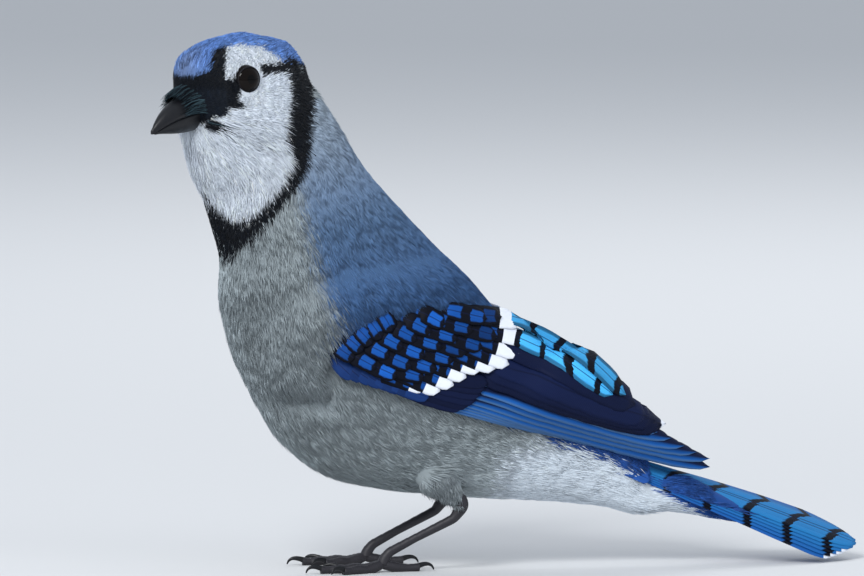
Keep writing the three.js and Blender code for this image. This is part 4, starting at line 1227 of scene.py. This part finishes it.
# Legs and feet.
# Bare black legs with a row of plates down the front, and toes with ringed plates and curved claws.
scales = Finish("leg_scales", Base_Color=(0.020, 0.019, 0.024, 1), Specular_IOR_Level=0.4)
scale_place = scales.node("ShaderNodeTexCoord", output="Object")
noise_sockets = {"Vector": scale_place, "Scale": 1400.0, "Detail": 3.0}
scale_noise = scales.node("ShaderNodeTexNoise", sockets=noise_sockets)
bump_sockets = {"Strength": 0.2, "Distance": 0.0001, "Height": scale_noise}
scale_bump = scales.node("ShaderNodeBump", sockets=bump_sockets)
scales.wear("Roughness", scale_noise * 0.3 + 0.38)
scales.wear("Normal", scale_bump)


EVEN_PASSES = 14


def plated(path, steps, sides, plates, depth, hint):
    """Rings along a path, swelling over each plate on its upper or front half."""
    path = np.asarray(path, float)
    length = np.concatenate([[0], np.cumsum(np.linalg.norm(np.diff(path[:, :3], axis=0), axis=1))])
    at = np.linspace(0, length[-1], steps)
    fine = np.column_stack([np.interp(at, length, path[:, k]) for k in range(path.shape[1])])
    for _ in range(EVEN_PASSES):
        padded = np.pad(fine, ((1, 1), (0, 0)), mode="edge")
        fine = 0.25 * padded[:-2] + 0.5 * padded[1:-1] + 0.25 * padded[2:]
    angle = np.linspace(0, 2 * np.pi, sides, endpoint=False)
    saw = (np.linspace(0, plates, steps) % 1.0)[:, None]
    swell = depth * (1 - saw) ** 0.5 * (0.45 + 0.55 * np.sin(angle))
    return limb_rings(fine, sides, 1 + swell, hint)


# Each toe's heading in degrees from straight ahead, its length and its joints.
TOES = [(-16, 15, 2), (4, 21, 3), (26, 16, 2), (184, 13, 1)]
for name, side in (("left", -1), ("right", 1)):
    ankle_out = side * ANKLE[1]
    foot_out = side * FOOT_OUT
    # Place, radius and flatness of the shank, from inside the thigh to the sole.
    shank = [
        (14.5, ankle_out, 26.5, 1.6, 1),
        (17.4, ankle_out, 23.9, 2.0, 1),
        (18, ankle_out, 21.4, 2.15, 1),
        (15, ankle_out - side * 0.05, 17.2, 1.5, 1),
        (1.8, side * 13.9, 10.8, 1.3, 1),
        (FOOT_AHEAD + 2.4, foot_out, 6.4, 1.5, 1),
        (FOOT_AHEAD + 0.8, foot_out, 4.2, 1.75, 1),
        (FOOT_AHEAD + 0.2, foot_out, 2.2, 1.9, 1),
    ]
    leg = facing_out(mesh_from(f"shank_{name}", *tube(plated(shank, 120, 20, 13, 0.10, (0, 1, 0)))))
    leg.data.materials.append(scales.material)
    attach(leg, "root")
    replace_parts(leg, f"tarsus_{name}")
    toe_tubes = []
    claw_tubes = []
    for heading, length, joints in TOES:
        angle = math.radians(heading)
        way = np.array([-math.cos(angle), side * math.sin(angle), 0])
        across_toe = np.cross(way, [0, 0, 1])
        steps = joints * 2 + 1
        path = []
        for i in range(steps + 1):
            t = i / steps
            radius = (1.65 - 0.45 * t) * (1.12 if i % 2 == 1 else 0.92)
            height = 2.6 if i == 0 else radius * 0.9
            ahead = length * t
            path.append((FOOT_AHEAD + way[0] * ahead, foot_out + way[1] * ahead, height, radius, 1))
        rings = plated(path, int(length * 5), 18, int(length / 1.5), 0.09, across_toe)
        rings[..., 2] = np.maximum(rings[..., 2], 0.0)
        toe_tubes.append(tube(rings))
        t = np.linspace(0, 1, 18)
        reach = length - 1.6 + 6.4 * np.sin(t * 1.45)
        claw_path = np.column_stack([
            FOOT_AHEAD + way[0] * reach,
            foot_out + way[1] * reach,
            np.maximum(1.35 + 1.5 * np.sin(t * 2.6) - 1.9 * t * t, 0.4),
            1.05 - 0.85 * t,
            np.full(18, 0.7),
        ])
        rings = limb_rings(claw_path, 14, hint=across_toe)
        rings[..., 2] = np.maximum(rings[..., 2], 0.0)
        claw_tubes.append(tube(rings))
    foot = facing_out(mesh_from(f"toes_{name}", *joined(toe_tubes)))
    foot.data.materials.append(scales.material)
    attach(foot, "root")
    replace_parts(foot, f"foot_{name}")
    claws = facing_out(mesh_from(f"claws_{name}", *joined(claw_tubes)))
    claws.data.materials.append(horn.material)
    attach(claws, "root")

# Floor, light and camera.
# A plain pale floor, a large soft lamp from the left and front, a weaker one from the right and one behind.
floor_mesh = bmesh.new()
bmesh.ops.create_grid(floor_mesh, x_segments=1, y_segments=1, size=20)
mesh = bpy.data.meshes.new("floor")
floor_mesh.to_mesh(mesh)
floor_mesh.free()
floor = bpy.data.objects.new("floor", mesh)
bpy.context.scene.collection.objects.link(floor)
mesh.materials.append(Finish("pale_floor", Base_Color=(0.62, 0.63, 0.64, 1), Roughness=0.9).material)
world = bpy.data.worlds.new("soft_room")
world.use_nodes = True
world.node_tree.nodes["Background"].inputs["Color"].default_value = (0.80, 0.86, 0.95, 1)
world.node_tree.nodes["Background"].inputs["Strength"].default_value = 0.72
bpy.context.scene.world = world
aim = Vector(metres(np.array([0.0, 0, 85.0])))
for name, place, size, power in (
    ("key", (-0.9, -1.15, 1.15), 0.7, 24.0),
    ("fill", (1.0, -1.2, 0.5), 1.0, 5.0),
    ("rim", (0.5, 1.2, 1.1), 0.7, 9.0),
):
    light = bpy.data.lights.new(name, "AREA")
    light.shape = "DISK"
    light.size = size
    light.energy = power
    lamp = bpy.data.objects.new(name, light)
    lamp.location = place
    lamp.rotation_mode = "QUATERNION"
    lamp.rotation_quaternion = (aim - Vector(place)).to_track_quat("-Z", "Y")
    lamp.visible_glossy = name == "key"
    bpy.context.scene.collection.objects.link(lamp)
DISTANCE = 9000.0
PICTURE_WIDTH = 864
PICTURE_HEIGHT = 576
right_of_middle = (PICTURE_WIDTH / 2 - MIDDLE_ACROSS) / PIXELS
above_floor = (FLOOR_DOWN - PICTURE_HEIGHT / 2) / PIXELS
target = VIEW_RIGHT * right_of_middle + VIEW_UP * above_floor
lens = bpy.data.cameras.new("photo_view")
lens.sensor_width = 36
lens.lens = lens.sensor_width * DISTANCE / (PICTURE_WIDTH / PIXELS)
lens.clip_start = 0.05
lens.clip_end = 100
camera = bpy.data.objects.new("photo_view", lens)
camera.location = Vector(metres(target + VIEW_BACK * (DISTANCE + 9)))
camera.rotation_mode = "QUATERNION"
camera.rotation_quaternion = Vector(-VIEW_BACK).to_track_quat("-Z", "Y")
bpy.context.scene.collection.objects.link(camera)
bpy.context.scene.camera = camera
bpy.context.scene.view_settings.view_transform = "Standard"
